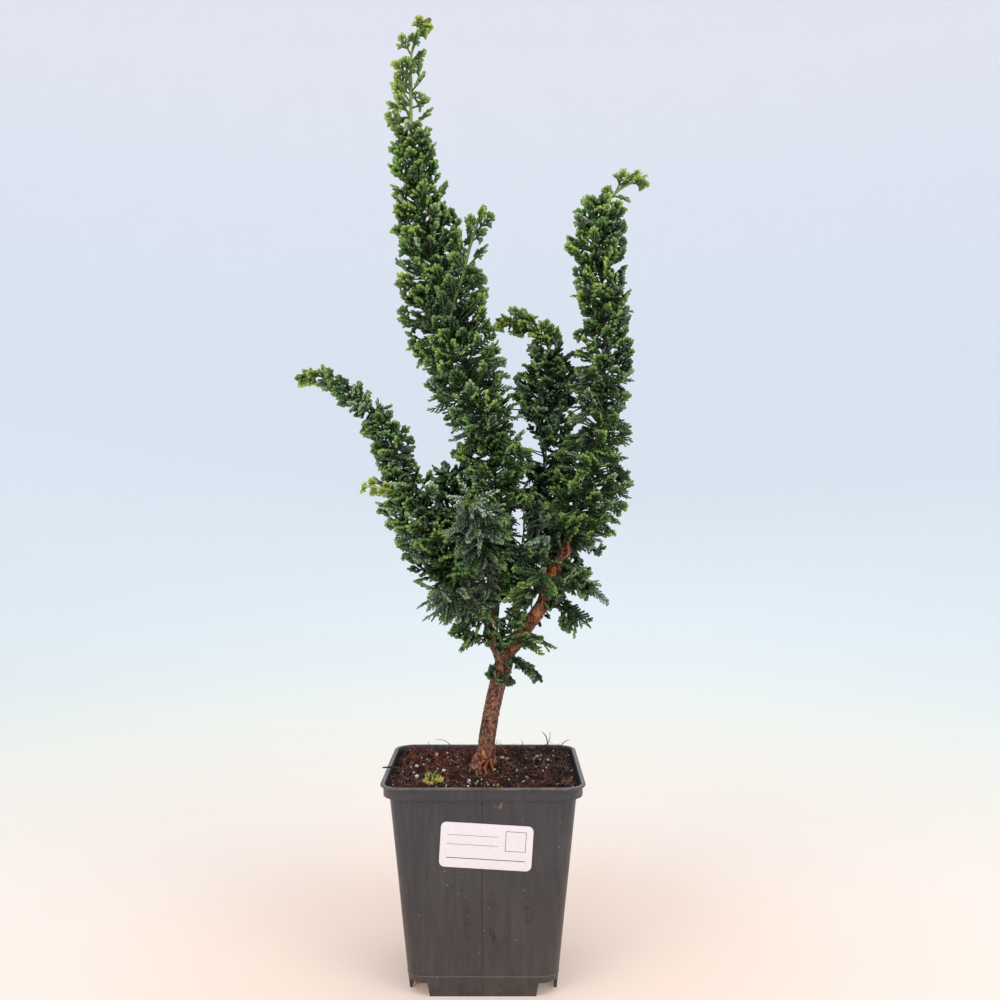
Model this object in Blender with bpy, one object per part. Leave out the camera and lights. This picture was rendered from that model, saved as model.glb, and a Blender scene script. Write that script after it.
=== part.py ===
"""A hinoki cypress bonsai in its square nursery pot, at real size.

The frame: +Z is up, the origin is the middle of the pot's underside, and the label is on the -Y side.
Sizes and places are written in millimetres and turned to metres where a mesh is made.
"""

import math
import random
from collections import namedtuple

import bmesh
import bpy
import numpy as np
from mathutils import Vector
from mathutils.bvhtree import BVHTree

MM = 0.001

# Clearances: between solids that touch, and between sprays of different stems.
GAP = 0.3
SPRAY_GAP = 0.5

# Pot: half widths of the square at each level, and the levels. The ledge under the collar is higher
# inside than outside by its rise, and the lip flares out from its root. Cuts run past by the overrun.
POT_HEIGHT = 115.5
POT_WALL = 1.4
LIP_HALF = 55.0
LIP_THICKNESS = 1.5
COLLAR_HALF = 52.6
COLLAR_BOTTOM = 108.4
BODY_TOP_HALF = 50.3
BODY_TOP = 107.8
BODY_BOTTOM_HALF = 40.1
CORNER_RADIUS = 11.0
CORNER_SEGMENTS = 3
FLOOR_TOP = 9.6
FLOOR_THICKNESS = 1.6
RIB_THICKNESS = 1.8
HUB_RADIUS = 9.0
LEDGE_RISE = 1.2
LIP_ROOT = 0.4
SKIRT_WIDTH = 57.0
SKIRT_SLANT = 1.5
SKIRT_HEIGHT = 7.4
DRAIN_RADIUS = 4.0
DRAIN_PLACE = 24.0
OVERRUN = 1.0

# Label: a sticker on the front wall.
LABEL_WIDTH = 48.5
LABEL_HEIGHT = 24.5
LABEL_CORNER = 3.0
LABEL_CORNER_STEPS = 4
LABEL_THICKNESS = 0.6
LABEL_X = 1.9
LABEL_Z = 82.0
LABEL_TILT_DEG = -3.5

# Soil: a filling whose top lies a little under the rim.
SOIL_EDGE_Z = 110.6
SOIL_MOUND = 2.4
SOIL_ROUGHNESS = 0.8
SOIL_RINGS = 5
SOIL_LUMPS = ((0.31, 0.27), (0.17, -0.23))

# Wood: each run is a list of (x, y, z, radius).
WOOD_SIDES = 7
BARK_ROUGHNESS = 0.07
WOOD_STEP = 10.0
WOOD_RUNS = (
    ((1, 0, 86, 5.0), (1, 0, 104, 6.2), (1, 0, 112, 6.2), (1.5, 0, 120, 5.3), (1.5, 0, 128, 4.9),
     (3.5, 0, 142, 4.8), (6, 0, 154, 4.8), (8, 0, 162, 4.9), (11, 0, 172, 5.3), (13, 0, 179, 4.6)),
    ((10, 0, 170, 4.2), (13, 0, 178, 4.4), (18, 0, 185, 4.3), (26, -1, 197, 4.2), (33, -1, 206, 4.0),
     (36, 0, 215, 3.9), (40, 2, 226, 3.7), (45, 4, 234, 3.5), (49, 5, 243, 3.2), (53, 5, 254, 2.8)),
    ((11, 0, 172, 3.8), (8, 0, 180, 3.6), (5, 0, 188, 3.5), (5, 0, 198, 3.4), (6, 0, 208, 3.1),
     (6, -1, 220, 2.9), (6, -2, 232, 2.5)),
    ((5, 0, 197, 2.7), (-3, -4, 207, 2.7), (-10, -6, 218, 2.5), (-17, -8, 229, 2.2)),
    ((34, 0, 209, 2.8), (36, 5, 217, 2.8), (35, 11, 230, 2.5), (35, 15, 242, 2.2)),
)
ROOT_RUNS = (
    ((0, -1, 116, 3.4), (-3, -5, 112.5, 2.6), (-6, -9, 109, 1.9), (-8, -12, 105, 1.2)),
    ((3, -2, 116, 3.0), (6, -5, 112, 2.4), (9, -8, 108, 1.6), (11, -10, 104, 1.1)),
    ((4, 2, 115, 3.0), (8, 5, 111.5, 2.3), (12, 8, 107, 1.4)),
    ((-1, 2, 115, 3.0), (-5, 6, 111, 2.2), (-9, 9, 106, 1.3)),
)

# Foliage: each leafy stem is a list of (x, y, z, reach), where reach is how far its sprays stand out.
# A sleeve starts round the wood's end, a side stem leaves its holder slim, and a next stem carries its
# holder on from a flat end. A holder of "" is the wood. Lift turns the sprays up, or down below zero.
Stem = namedtuple("Stem", "name colour start holder goes_on lift points")
FOLIAGE_COLOURS = {
    "deep": (0.033, 0.085, 0.030),
    "mid": (0.055, 0.150, 0.040),
    "fresh": (0.180, 0.360, 0.050),
    "yellow": (0.450, 0.560, 0.070),
    "silver": (0.150, 0.260, 0.170),
}
STEMS = (
    Stem("leader_side_shoot", "mid", "side", "leader", False, 0.15, (
        (-20, -2, 366, 4), (-17, -10, 379, 10), (-12, -15, 391, 10), (-8, -18, 406, 9.5), (-5, -20, 415, 8.5),
        (-3, -21, 422, 7.5), (0.5, -22, 431, 5))),
    Stem("leader", "mid", "sleeve", "", True, 0.05, (
        (6, -1, 218, 18), (6, -2, 234, 22), (7, -4, 255, 25), (7, -4, 272, 25), (5, -4, 292, 25),
        (1, -4, 307, 25), (-5, -3, 322, 25), (-10, -2, 337, 25.5), (-14, 0, 351, 28), (-20, 0, 365, 28.5),
        (-25, 1, 381, 28), (-29, 1, 398, 25), (-33, 2, 416, 21.5), (-36, 2, 433, 18.5), (-38, 2, 450, 16.5),
        (-42, 2, 468, 15.5), (-42, 2, 479, 14))),
    Stem("leader_tip", "fresh", "next", "leader", False, 0.10, (
        (-42, 2, 479.4, 14), (-42, 2, 497, 13), (-42, 2, 508, 11.5), (-41, 1, 521, 8.5), (-40, 0, 528, 7),
        (-38, 0, 533, 6), (-34, -1, 538, 5.5), (-30.5, -2, 541, 4.5))),
    Stem("left_tuft", "yellow", "side", "left_limb", False, 0.10, (
        (-45, -9, 272, 3), (-53, -20, 274, 6), (-60, -24, 276, 6), (-66, -27, 276, 4))),
    Stem("left_limb", "mid", "sleeve", "", False, -0.05, (
        (-8, -5.5, 214, 20), (-16, -8, 228, 23.5), (-29, -10, 250, 24.5), (-41, -9, 267, 20.5),
        (-48.4, -8, 278, 16), (-49, -8, 288, 15), (-53, -7, 300, 14), (-58, -6, 309, 12.5),
        (-67, -5, 318, 11), (-75, -4, 326, 9.5), (-83, -3, 332, 8.5), (-90, -2, 336, 7), (-97, -1, 338, 6),
        (-107, 0, 336.5, 4.5))),
    Stem("right_limb", "mid", "sleeve", "", True, 0.0, (
        (42, 3, 230, 13), (52, 5, 249, 21), (57, 6, 264, 25), (61, 7, 281, 26), (64.5, 8, 298, 22.5),
        (67, 8, 319, 19.5), (70, 8, 336, 18), (71, 8, 354, 18.5), (69, 7, 375, 18.5), (68, 6, 391, 17.5),
        (66, 5, 406, 19), (66, 5, 419, 20), (68, 4, 430, 18), (71, 3, 438, 12))),
    Stem("right_limb_tip", "fresh", "next", "right_limb", False, 0.10, (
        (71.2, 3, 438.4, 12), (76, 2, 444, 7.5), (80, 2, 447, 7), (86, 1, 450, 6), (92.5, 0, 450, 5))),
    Stem("middle_limb", "deep", "sleeve", "", True, 0.0, (
        (35, 12, 233, 15), (36, 17, 246, 17), (36, 22, 268, 19), (35, 24, 290, 20), (34, 25, 311, 21),
        (34, 25, 331, 22), (36, 24, 349, 16.5), (38, 23, 358, 12))),
    Stem("middle_limb_tip", "fresh", "next", "middle_limb", False, 0.10, (
        (38.1, 23, 358.4, 12), (35, 22, 368, 9.5), (29, 21, 373, 8.5), (21, 20, 375, 7), (13, 19, 374, 6),
        (7, 18, 371.5, 5))),
    Stem("silver_spray", "silver", "side", "", False, 0.0, (
        (5, 0, 203, 3), (3, -13, 212, 9), (1, -24, 236, 17), (-4, -36, 254, 21), (-7, -42, 266, 17))),
    Stem("front_left_spray", "silver", "side", "", False, -0.20, (
        (5, 0, 194, 3), (-2, -10, 199, 9), (-9, -20, 207, 16), (-18, -28, 213, 15), (-26, -34, 211, 9))),
    Stem("front_right_spray", "fresh", "side", "", False, -0.05, (
        (28, -1, 199, 3), (27, -10, 204, 8), (27, -19, 212, 15), (30, -29, 223, 15), (33, -35, 230, 9))),
    Stem("heart_spray", "deep", "side", "", False, 0.05, (
        (26, -1, 197, 3), (21, -6, 211, 8), (20, -20, 234, 17), (22, -29, 250, 18), (22, -31, 264, 12))),
    Stem("back_left_spray", "deep", "side", "", False, 0.0, (
        (5, 0, 197, 3), (1, 10, 204, 9), (-9, 22, 218, 20), (-21, 34, 240, 22), (-27, 40, 258, 14))),
    Stem("back_middle_spray", "deep", "side", "", False, 0.0, (
        (6, 0, 206, 3), (10, 11, 214, 9), (12, 25, 228, 19), (12, 36, 248, 22), (9, 40, 270, 14))),
    Stem("back_right_spray", "deep", "side", "", False, 0.0, (
        (36, 0, 214, 3), (41, 10, 218, 9), (47, 24, 224, 18), (56, 35, 240, 20), (62, 40, 258, 13))),
    Stem("left_inner_spray", "deep", "side", "", False, 0.05, (
        (5, 0.5, 211, 3), (-1, 6, 218, 8), (-9, 6, 234, 13), (-15, 1, 253, 18), (-17, -4, 271, 18),
        (-16, -6, 285, 13))),
    Stem("fork_spray", "mid", "side", "", False, -0.05, (
        (8, 0, 181, 3), (10, -9, 187, 7), (14, -14, 197, 10), (16, -16, 206, 7))),
    Stem("right_skirt_spray", "deep", "side", "", False, -0.25, (
        (40, 2, 226, 3), (45, -6, 225, 9), (51, -13, 223, 15), (59, -18, 218, 9))),
    Stem("right_low_spray", "deep", "side", "", False, -0.25, (
        (20, 0, 188, 3), (29, -7, 195, 9), (39, -12, 201, 14), (50, -15, 200, 9))),
    Stem("low_left_spray", "mid", "side", "", False, -0.30, (
        (6, 0, 186, 3), (-1, -9, 189, 7), (-7, -15, 190, 9), (-13, -19, 187, 7))),
    Stem("low_right_spray", "silver", "side", "", False, -0.25, (
        (17, 0, 184, 3), (23, -9, 187, 7), (30, -14, 189, 9), (37, -18, 186, 7))),
    Stem("trunk_sprig_left", "mid", "side", "", False, -0.10, (
        (9, 0, 166, 3), (4, -6, 171, 6), (0, -9, 172, 6), (-3, -11, 170, 5))),
    Stem("trunk_sprig_middle", "mid", "side", "", False, -0.10, (
        (7, 0, 158, 3), (9, -7, 163, 5), (13, -10, 164, 6), (17, -12, 161, 5))),
    Stem("trunk_sprig_right", "deep", "side", "", False, -0.15, (
        (12, 0, 174, 3), (19, -7, 174, 6), (26, -10, 172, 6), (32, -13, 168, 5))),
)

# A spray is a flat fan of fingers round a palm, one plump faceted blade whose stalk flares into the stem.
# Angles are from straight across, and lengths are shares of the spray's own length.
SMALL_SPRAY_PAIRS = 2
LARGE_SPRAY_PAIRS = 3
LARGE_SPRAY_FROM = 17.5
SPRAY_PALM = 0.30
FIRST_FINGER_DEG = -20.0
SIDE_REACH = 0.50
TIP_REACH = 0.70
NOTCH_SHARE = 0.56
SPRAY_HALF_THICKNESS = 0.08
SPRAY_LEAST_THICKNESS = 0.75
FINGER_RIPPLE = 0.05
SPRAY_ARCH = 0.30
SPRAY_SHORTEST = 5.0
SPRAY_LONGEST = 31.0
SPRAY_LEAN_DEG = 58.0
SPRAY_TRIES = 9
REACH_SPREAD = (1.06, 1.28)
SPRAY_SHRINK = 0.05
LEAN_SPREAD = 0.22
LIFT_SPREAD = 0.10
ROLL_SPREAD = 0.35
CURL_SPREAD = (-0.3, 1.2)
PALM_DISTANCE = 1.3

# The stem inside a leafy stem: rings of points, with a spray raised from every other face between them.
RING_STEP_SHARE = 0.60
RING_STEP_LEAST = 4.8
RING_TWIST_DEG = 20.0
SLIM_STEM_REACH = 10.0
STEM_SIDES = 6
SLIM_STEM_SIDES = 4
CORE_DEPTH = 19.0
CORE_SHARE = 0.22
CORE_LARGEST = 5.5
CORE_AT_WOOD = 2.2
CORE_ROUND_WOOD = 5.6
ROUND_WOOD_LENGTH = 28.0
CORE_FLARE = 0.35
BARE_AT_WOOD = 5.0

# Colours and finish of what isn't foliage.
PLASTIC = (0.085, 0.078, 0.074)
PAPER = (0.85, 0.80, 0.79)
PEAT = (0.055, 0.022, 0.014)
BARK = (0.200, 0.080, 0.045)


def clear_scene():
    """Removes what an opened scene already holds."""
    for old in list(bpy.data.objects):
        bpy.data.objects.remove(old, do_unlink=True)


def make_material(name, colour, roughness):
    """A plain surface of one colour."""
    material = bpy.data.materials.new(name)
    material.use_nodes = True
    surface = material.node_tree.nodes["Principled BSDF"]
    surface.inputs["Base Color"].default_value = (*colour, 1.0)
    surface.inputs["Roughness"].default_value = roughness
    surface.inputs["Metallic"].default_value = 0.0
    return material


def make_object(name, vertices, faces):
    """An object from corner points in millimetres and faces."""
    mesh = bpy.data.meshes.new(name)
    mesh.from_pydata((np.asarray(vertices, float) * MM).tolist(), [], faces)
    mesh.update()
    thing = bpy.data.objects.new(name, mesh)
    bpy.context.scene.collection.objects.link(thing)
    return thing


def finish_object(thing, material, smooth_deg=None):
    """Gives the object its material, and soft shading below an angle."""
    thing.data.materials.clear()
    thing.data.materials.append(material)
    if smooth_deg is not None:
        thing.data.shade_smooth()
        thing.data.set_sharp_from_angle(angle=math.radians(smooth_deg))


def loft(rings):
    """Corner points and faces of a closed skin through rings of equal count, capped at both ends."""
    count, sides = len(rings), len(rings[0])
    vertices = [tuple(point) for ring in rings for point in ring]
    faces = []
    for i in range(count - 1):
        low, high = i * sides, (i + 1) * sides
        for j in range(sides):
            k = (j + 1) % sides
            faces.append((low + j, low + k, high + k, high + j))
    faces.append(tuple(range(sides - 1, -1, -1)))
    faces.append(tuple((count - 1) * sides + j for j in range(sides)))
    return vertices, faces


def combine(target, others, operation, solver="EXACT"):
    """Joins the others to the target, or cuts them from it, and removes them."""
    group = bpy.data.collections.new("operands")
    bpy.context.scene.collection.children.link(group)
    for other in others:
        bpy.context.scene.collection.objects.unlink(other)
        group.objects.link(other)
    modifier = target.modifiers.new("combine", "BOOLEAN")
    modifier.operation = operation
    modifier.operand_type = "COLLECTION"
    modifier.collection = group
    modifier.solver = solver
    apply_modifiers(target)
    for other in others:
        bpy.data.objects.remove(other, do_unlink=True)
    bpy.data.collections.remove(group)


def apply_modifiers(thing):
    """Replaces the object's mesh by what its modifiers make of it."""
    evaluated = thing.evaluated_get(bpy.context.evaluated_depsgraph_get())
    mesh = bpy.data.meshes.new_from_object(evaluated)
    thing.modifiers.clear()
    thing.data = mesh


def keep_largest_body(thing):
    """Drops the loose scraps that a cut leaves, and splits the rest into triangles."""
    work = bmesh.new()
    work.from_mesh(thing.data)
    bmesh.ops.triangulate(work, faces=work.faces)
    unseen = set(work.verts)
    largest = set()
    while unseen:
        body = set()
        front = [unseen.pop()]
        while front:
            vertex = front.pop()
            body.add(vertex)
            for edge in vertex.link_edges:
                other = edge.other_vert(vertex)
                if other in unseen:
                    unseen.remove(other)
                    front.append(other)
        if len(body) > len(largest):
            largest = body
    scraps = [vertex for vertex in work.verts if vertex not in largest]
    bmesh.ops.delete(work, geom=scraps, context="VERTS")
    work.to_mesh(thing.data)
    work.free()


def rounded_square(half, z, radius=CORNER_RADIUS):
    """A ring of points round a square with round corners."""
    ring = []
    for corner in range(4):
        middle = math.radians(45 + 90 * corner)
        cx = (half - radius) * (1 if math.cos(middle) > 0 else -1)
        cy = (half - radius) * (1 if math.sin(middle) > 0 else -1)
        for step in range(CORNER_SEGMENTS + 1):
            angle = math.radians(90 * corner + 90 * step / CORNER_SEGMENTS)
            ring.append((cx + radius * math.cos(angle), cy + radius * math.sin(angle), z))
    return ring


def body_half(z):
    """The outer half width of the pot's tapered wall at a height."""
    return BODY_BOTTOM_HALF + (BODY_TOP_HALF - BODY_BOTTOM_HALF) * z / BODY_TOP


def cylinder(x, y, radius, low, high, sides=12):
    """Corner points and faces of an upright cylinder."""
    turns = [2 * math.pi * i / sides for i in range(sides)]
    ring = [(x + radius * math.cos(t), y + radius * math.sin(t)) for t in turns]
    return loft([[(px, py, low) for px, py in ring], [(px, py, high) for px, py in ring]])


def corner_opening(turn):
    """A slanted wedge that opens the pot's lower corner between two foot skirts."""
    outside = BODY_TOP_HALF
    rings = []
    for z in (-OVERRUN, SKIRT_HEIGHT):
        inner = SKIRT_WIDTH / 2 + SKIRT_SLANT * z / SKIRT_HEIGHT
        plan = ((inner, inner), (outside, inner), (outside, outside), (inner, outside))
        c, s = round(math.cos(turn)), round(math.sin(turn))
        rings.append([(x * c - y * s, x * s + y * c, z) for x, y in plan])
    return make_object("corner_opening", *loft(rings))


def under_pocket(turn):
    """The hollow under a quarter of the raised floor, between the ribs and the skirts."""
    near = RIB_THICKNESS / 2
    far = BODY_BOTTOM_HALF - POT_WALL
    hub = HUB_RADIUS
    plan = ((hub, near), (far, near), (far, far), (near, far), (near, hub))
    c, s = round(math.cos(turn)), round(math.sin(turn))
    rings = []
    for z in (-OVERRUN, FLOOR_TOP - FLOOR_THICKNESS):
        rings.append([(x * c - y * s, x * s + y * c, z) for x, y in plan])
    return make_object("under_pocket", *loft(rings))


def make_pot():
    """The moulded pot: one skin over lip, collar, tapered wall and floor, cut open underneath."""
    body_top_inner = BODY_TOP_HALF - POT_WALL
    collar_inner = COLLAR_HALF - POT_WALL
    lip_bottom = POT_HEIGHT - LIP_THICKNESS
    profile = (
        (BODY_BOTTOM_HALF, 0.0, CORNER_RADIUS - 1),
        (BODY_TOP_HALF, BODY_TOP, CORNER_RADIUS),
        (COLLAR_HALF, COLLAR_BOTTOM, CORNER_RADIUS + 1),
        (COLLAR_HALF, lip_bottom - LIP_ROOT, CORNER_RADIUS + 1),
        (LIP_HALF, lip_bottom, CORNER_RADIUS + 2),
        (LIP_HALF, POT_HEIGHT, CORNER_RADIUS + 2),
        (collar_inner, POT_HEIGHT, CORNER_RADIUS),
        (collar_inner, COLLAR_BOTTOM + LEDGE_RISE, CORNER_RADIUS),
        (body_top_inner, BODY_TOP + LEDGE_RISE, CORNER_RADIUS - 1),
        (body_half(FLOOR_TOP) - POT_WALL, FLOOR_TOP, CORNER_RADIUS - 2),
    )
    rings = [rounded_square(half, z, radius) for half, z, radius in profile]
    pot = make_object("pot", *loft(rings))
    turns = [math.radians(90 * i) for i in range(4)]
    cutters = [under_pocket(turn) for turn in turns] + [corner_opening(turn) for turn in turns]
    for turn in turns:
        x = DRAIN_PLACE * (math.cos(turn) - math.sin(turn))
        y = DRAIN_PLACE * (math.sin(turn) + math.cos(turn))
        hole = cylinder(x, y, DRAIN_RADIUS, FLOOR_TOP - FLOOR_THICKNESS - OVERRUN, FLOOR_TOP + OVERRUN)
        cutters.append(make_object("drain", *hole))
    for cutter in cutters:
        combine(pot, [cutter], "DIFFERENCE")
    keep_largest_body(pot)
    finish_object(pot, make_material("grey_plastic", PLASTIC, 0.45), 40)
    return pot


def make_label():
    """The sticker: a thin rounded plate that lies on the slope of the front wall."""
    half_w, half_h = LABEL_WIDTH / 2, LABEL_HEIGHT / 2
    slope = math.atan2(BODY_TOP_HALF - BODY_BOTTOM_HALF, BODY_TOP)
    tilt = math.radians(LABEL_TILT_DEG)
    across = Vector((math.cos(tilt), 0, math.sin(tilt)))
    up = Vector((-math.sin(tilt), 0, math.cos(tilt)))
    lean = Vector((0, -math.sin(slope), math.cos(slope)))
    out = Vector((0, -math.cos(slope), -math.sin(slope)))
    across = Vector((across.x, 0, 0)) + across.z * lean
    up = Vector((up.x, 0, 0)) + up.z * lean
    plan = []
    for corner in range(4):
        middle = math.radians(45 + 90 * corner)
        cx = (half_w - LABEL_CORNER) * (1 if math.cos(middle) > 0 else -1)
        cy = (half_h - LABEL_CORNER) * (1 if math.sin(middle) > 0 else -1)
        for step in range(LABEL_CORNER_STEPS + 1):
            angle = math.radians(90 * corner + 90 * step / LABEL_CORNER_STEPS)
            plan.append((cx + LABEL_CORNER * math.cos(angle), cy + LABEL_CORNER * math.sin(angle)))
    centre = Vector((LABEL_X, -body_half(LABEL_Z), LABEL_Z))
    rings = []
    for height in (GAP, GAP + LABEL_THICKNESS):
        rings.append([centre + across * u + up * v + out * height for u, v in plan])
    label = make_object("label", *loft(rings))
    finish_object(label, make_material("paper_label", PAPER, 0.5))
    return label


def soil_height(x, y):
    """The soil's top: a low mound round the trunk, with small lumps that fade out at the pot's wall."""
    reach = max(abs(x), abs(y)) / COLLAR_HALF
    mound = SOIL_MOUND * (1 - reach * reach)
    (across, along), (slant_x, slant_y) = SOIL_LUMPS
    lumps = math.sin(across * x) * math.cos(along * y) + math.sin(slant_x * x + slant_y * y)
    return SOIL_EDGE_Z + mound + SOIL_ROUGHNESS * lumps * (1 - reach ** 4)


def make_soil(trunk_space):
    """The filling: it follows the pot's inside at a small gap, with a lumpy top and the trunk's hole."""
    low_half = body_half(FLOOR_TOP) - POT_WALL - GAP
    top_half = BODY_TOP_HALF - POT_WALL - GAP
    ledge_half = COLLAR_HALF - POT_WALL - GAP
    rings = [
        rounded_square(low_half, FLOOR_TOP + GAP, CORNER_RADIUS - 2),
        rounded_square(top_half, BODY_TOP + LEDGE_RISE, CORNER_RADIUS - 1),
        rounded_square(ledge_half, COLLAR_BOTTOM + LEDGE_RISE + GAP, CORNER_RADIUS),
    ]
    for i in range(SOIL_RINGS):
        share = 1 - i / SOIL_RINGS
        ring = rounded_square(ledge_half, 0.0, CORNER_RADIUS)
        rings.append([(x * share, y * share, soil_height(x * share, y * share)) for x, y, z in ring])
    vertices, faces = loft(rings)
    centre = len(vertices)
    sides = len(rings[0])
    last = (len(rings) - 1) * sides
    vertices.append((0.0, 0.0, soil_height(0.0, 0.0)))
    faces.pop()
    faces.extend((last + j, last + (j + 1) % sides, centre) for j in range(sides))
    soil = make_object("soil", vertices, faces)
    combine(soil, [trunk_space], "DIFFERENCE")
    keep_largest_body(soil)
    finish_object(soil, make_material("peat_and_bark", PEAT, 0.9))
    return soil


def smooth_path(points, step):
    """Points at about equal steps on a smooth curve through the given ones, with their fourth values."""
    given = np.asarray(points, float)
    along = np.concatenate(([0.0], np.cumsum(np.linalg.norm(np.diff(given[:, :3], axis=0), axis=1))))
    slope = np.gradient(given, along, axis=0)
    places = np.linspace(0.0, along[-1], max(3, int(round(along[-1] / step)) + 1))
    k = np.clip(np.searchsorted(along, places, side="right") - 1, 0, len(along) - 2)
    width = along[k + 1] - along[k]
    t = (places - along[k]) / width
    start = (2 * t ** 3 - 3 * t ** 2 + 1)[:, None] * given[k]
    end = (3 * t ** 2 - 2 * t ** 3)[:, None] * given[k + 1]
    leave = ((t ** 3 - 2 * t ** 2 + t) * width)[:, None] * slope[k]
    arrive = ((t ** 3 - t ** 2) * width)[:, None] * slope[k + 1]
    return start + end + leave + arrive, places


def path_frames(path):
    """The direction along a path, and two directions across it, at each of its points."""
    ahead = np.gradient(path[:, :3], axis=0)
    ahead /= np.linalg.norm(ahead, axis=1)[:, None]
    side = np.cross(ahead, (0.0, 1.0, 0.15))
    side /= np.linalg.norm(side, axis=1)[:, None]
    return ahead, side, np.cross(ahead, side)


def tube(path, radii, sides, roughness, seed):
    """Rings of points round a path, each point a little in or out of the radius."""
    chance = random.Random(seed)
    ahead, side, other = path_frames(path)
    rings = []
    for i in range(len(path)):
        ring = []
        for j in range(sides):
            angle = 2 * math.pi * j / sides
            radius = radii[i] * (1 + roughness * chance.uniform(-1, 1))
            radius *= 1 / math.cos(math.pi / sides) ** 0.5
            ring.append(path[i, :3] + radius * (math.cos(angle) * side[i] + math.sin(angle) * other[i]))
        rings.append(ring)
    return rings


def make_wood(name, grow):
    """The trunk with its roots and limbs, one body, made thicker by the length given."""
    parts = []
    for number, run in enumerate(WOOD_RUNS + ROOT_RUNS):
        path, places = smooth_path(run, WOOD_STEP)
        radii = path[:, 3] + grow
        sides = WOOD_SIDES if number < len(WOOD_RUNS) else WOOD_SIDES - 2
        ahead = path_frames(path)[0]
        path[0, :3] -= ahead[0] * grow
        path[-1, :3] += ahead[-1] * grow
        parts.append(make_object(name, *loft(tube(path, radii, sides, BARK_ROUGHNESS, number))))
    combine(parts[0], parts[1:], "UNION")
    keep_largest_body(parts[0])
    return parts[0]


def spray_shape(length, pairs, curl, margin=0.0):
    """A spray in its own frame: its outline from right to left, then the middles of its two faces."""
    points = []
    fingers = 2 * pairs + 1
    thick = max(SPRAY_LEAST_THICKNESS, SPRAY_HALF_THICKNESS * length) + margin
    for number in range(2 * fingers - 1):
        share = abs(1 - number / (fingers - 1))
        angle = math.radians(90 - (90 - FIRST_FINGER_DEG) * share)
        reach = TIP_REACH + (SIDE_REACH - TIP_REACH) * share ** 0.6
        if number % 2:
            reach *= NOTCH_SHARE
        away = reach * length + margin
        side = 1 if number < fingers - 1 else -1
        ripple = FINGER_RIPPLE * math.cos(math.pi * number / 2)
        points.append((
            side * away * math.cos(angle),
            SPRAY_PALM * length + away * math.sin(angle),
            (ripple - curl * SPRAY_ARCH * reach ** 2) * length,
        ))
    points.append((0.0, SPRAY_PALM * length, thick))
    points.append((0.0, SPRAY_PALM * length, -thick))
    return np.array(points)


def place_spray(root, along, across, length, pairs, curl, margin=0.0):
    """The spray's points in the part's frame, from its root, its direction and its width's direction."""
    along = along / np.linalg.norm(along)
    across = across - along * np.dot(across, along)
    across /= np.linalg.norm(across)
    normal = np.cross(across, along)
    points = spray_shape(length, pairs, curl, margin)
    return root + points[:, :1] * across + points[:, 1:2] * along + points[:, 2:] * normal


def blade_faces(count, first):
    """The triangles between an outline of so many points and the middles of the two faces."""
    front, back = first + count, first + count + 1
    faces = []
    for i in range(first, first + count - 1):
        faces.append((i, i + 1, front))
        faces.append((i + 1, i, back))
    return faces


def stalk_faces(a, b, c, d, count, first):
    """The triangles that join a face of the stem to the palm: a and b are its near corners."""
    right, left = first, first + count - 1
    front, back = first + count, first + count + 1
    return [
        (a, b, front), (b, right, front), (b, c, right), (c, back, right),
        (c, d, back), (d, left, back), (d, a, left), (a, front, left),
    ]


# What stem_core gives: the path in fine steps, its direction at each, the rings' places along it and
# their indices in it, the rings' corners, and the turn of the last ring.
Core = namedtuple("Core", "path ahead along indices rings last_turn")


def core_radius(stem, reach, place):
    """The stem inside its sprays: as thick as they leave room for, slim where it leaves its holder."""
    radius = min(CORE_LARGEST, max(reach - CORE_DEPTH, CORE_SHARE * reach))
    if stem.start == "side":
        radius = min(radius, CORE_AT_WOOD + CORE_FLARE * place)
    elif stem.start == "sleeve" and place < ROUND_WOOD_LENGTH:
        radius = max(radius, CORE_ROUND_WOOD)
    return radius


def stem_named(name):
    """The stem of that name."""
    return next(stem for stem in STEMS if stem.name == name)


def stem_core(stem, grow=0.0):
    """The slim tube inside a leafy stem, made thicker by the length given."""
    path, places = smooth_path(stem.points, 1.0)
    ahead, side, other = path_frames(path)
    slim = max(point[3] for point in stem.points) < SLIM_STEM_REACH
    sides = SLIM_STEM_SIDES if slim else STEM_SIDES
    along = ring_places(path, places)
    indices = [min(len(path) - 1, int(round(place / places[-1] * (len(path) - 1)))) for place in along]
    turn = random.Random(stem.name).uniform(0, 2 * math.pi)
    holder = stem_core(stem_named(stem.holder)) if stem.start == "next" else None
    if holder is not None:
        turn = holder.last_turn
    rings = []
    for row in range(len(indices) if stem.goes_on else len(indices) - 1):
        i = indices[row]
        radius = core_radius(stem, path[i, 3], along[row]) + grow
        turns = [turn + 2 * math.pi * j / sides for j in range(sides)]
        rings.append([path[i, :3] + radius * (math.cos(t) * side[i] + math.sin(t) * other[i]) for t in turns])
        turn += math.radians(RING_TWIST_DEG)
    last_turn = turn - math.radians(RING_TWIST_DEG)
    if holder is not None:
        rings[0] = [corner + GAP * holder.ahead[-1] for corner in holder.rings[-1]]
    return Core(path, ahead, along, indices, rings, last_turn)


def search_tree(points, faces):
    """A tree that finds where these triangles cross others."""
    return BVHTree.FromPolygons([Vector(point) for point in points], faces)


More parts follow.
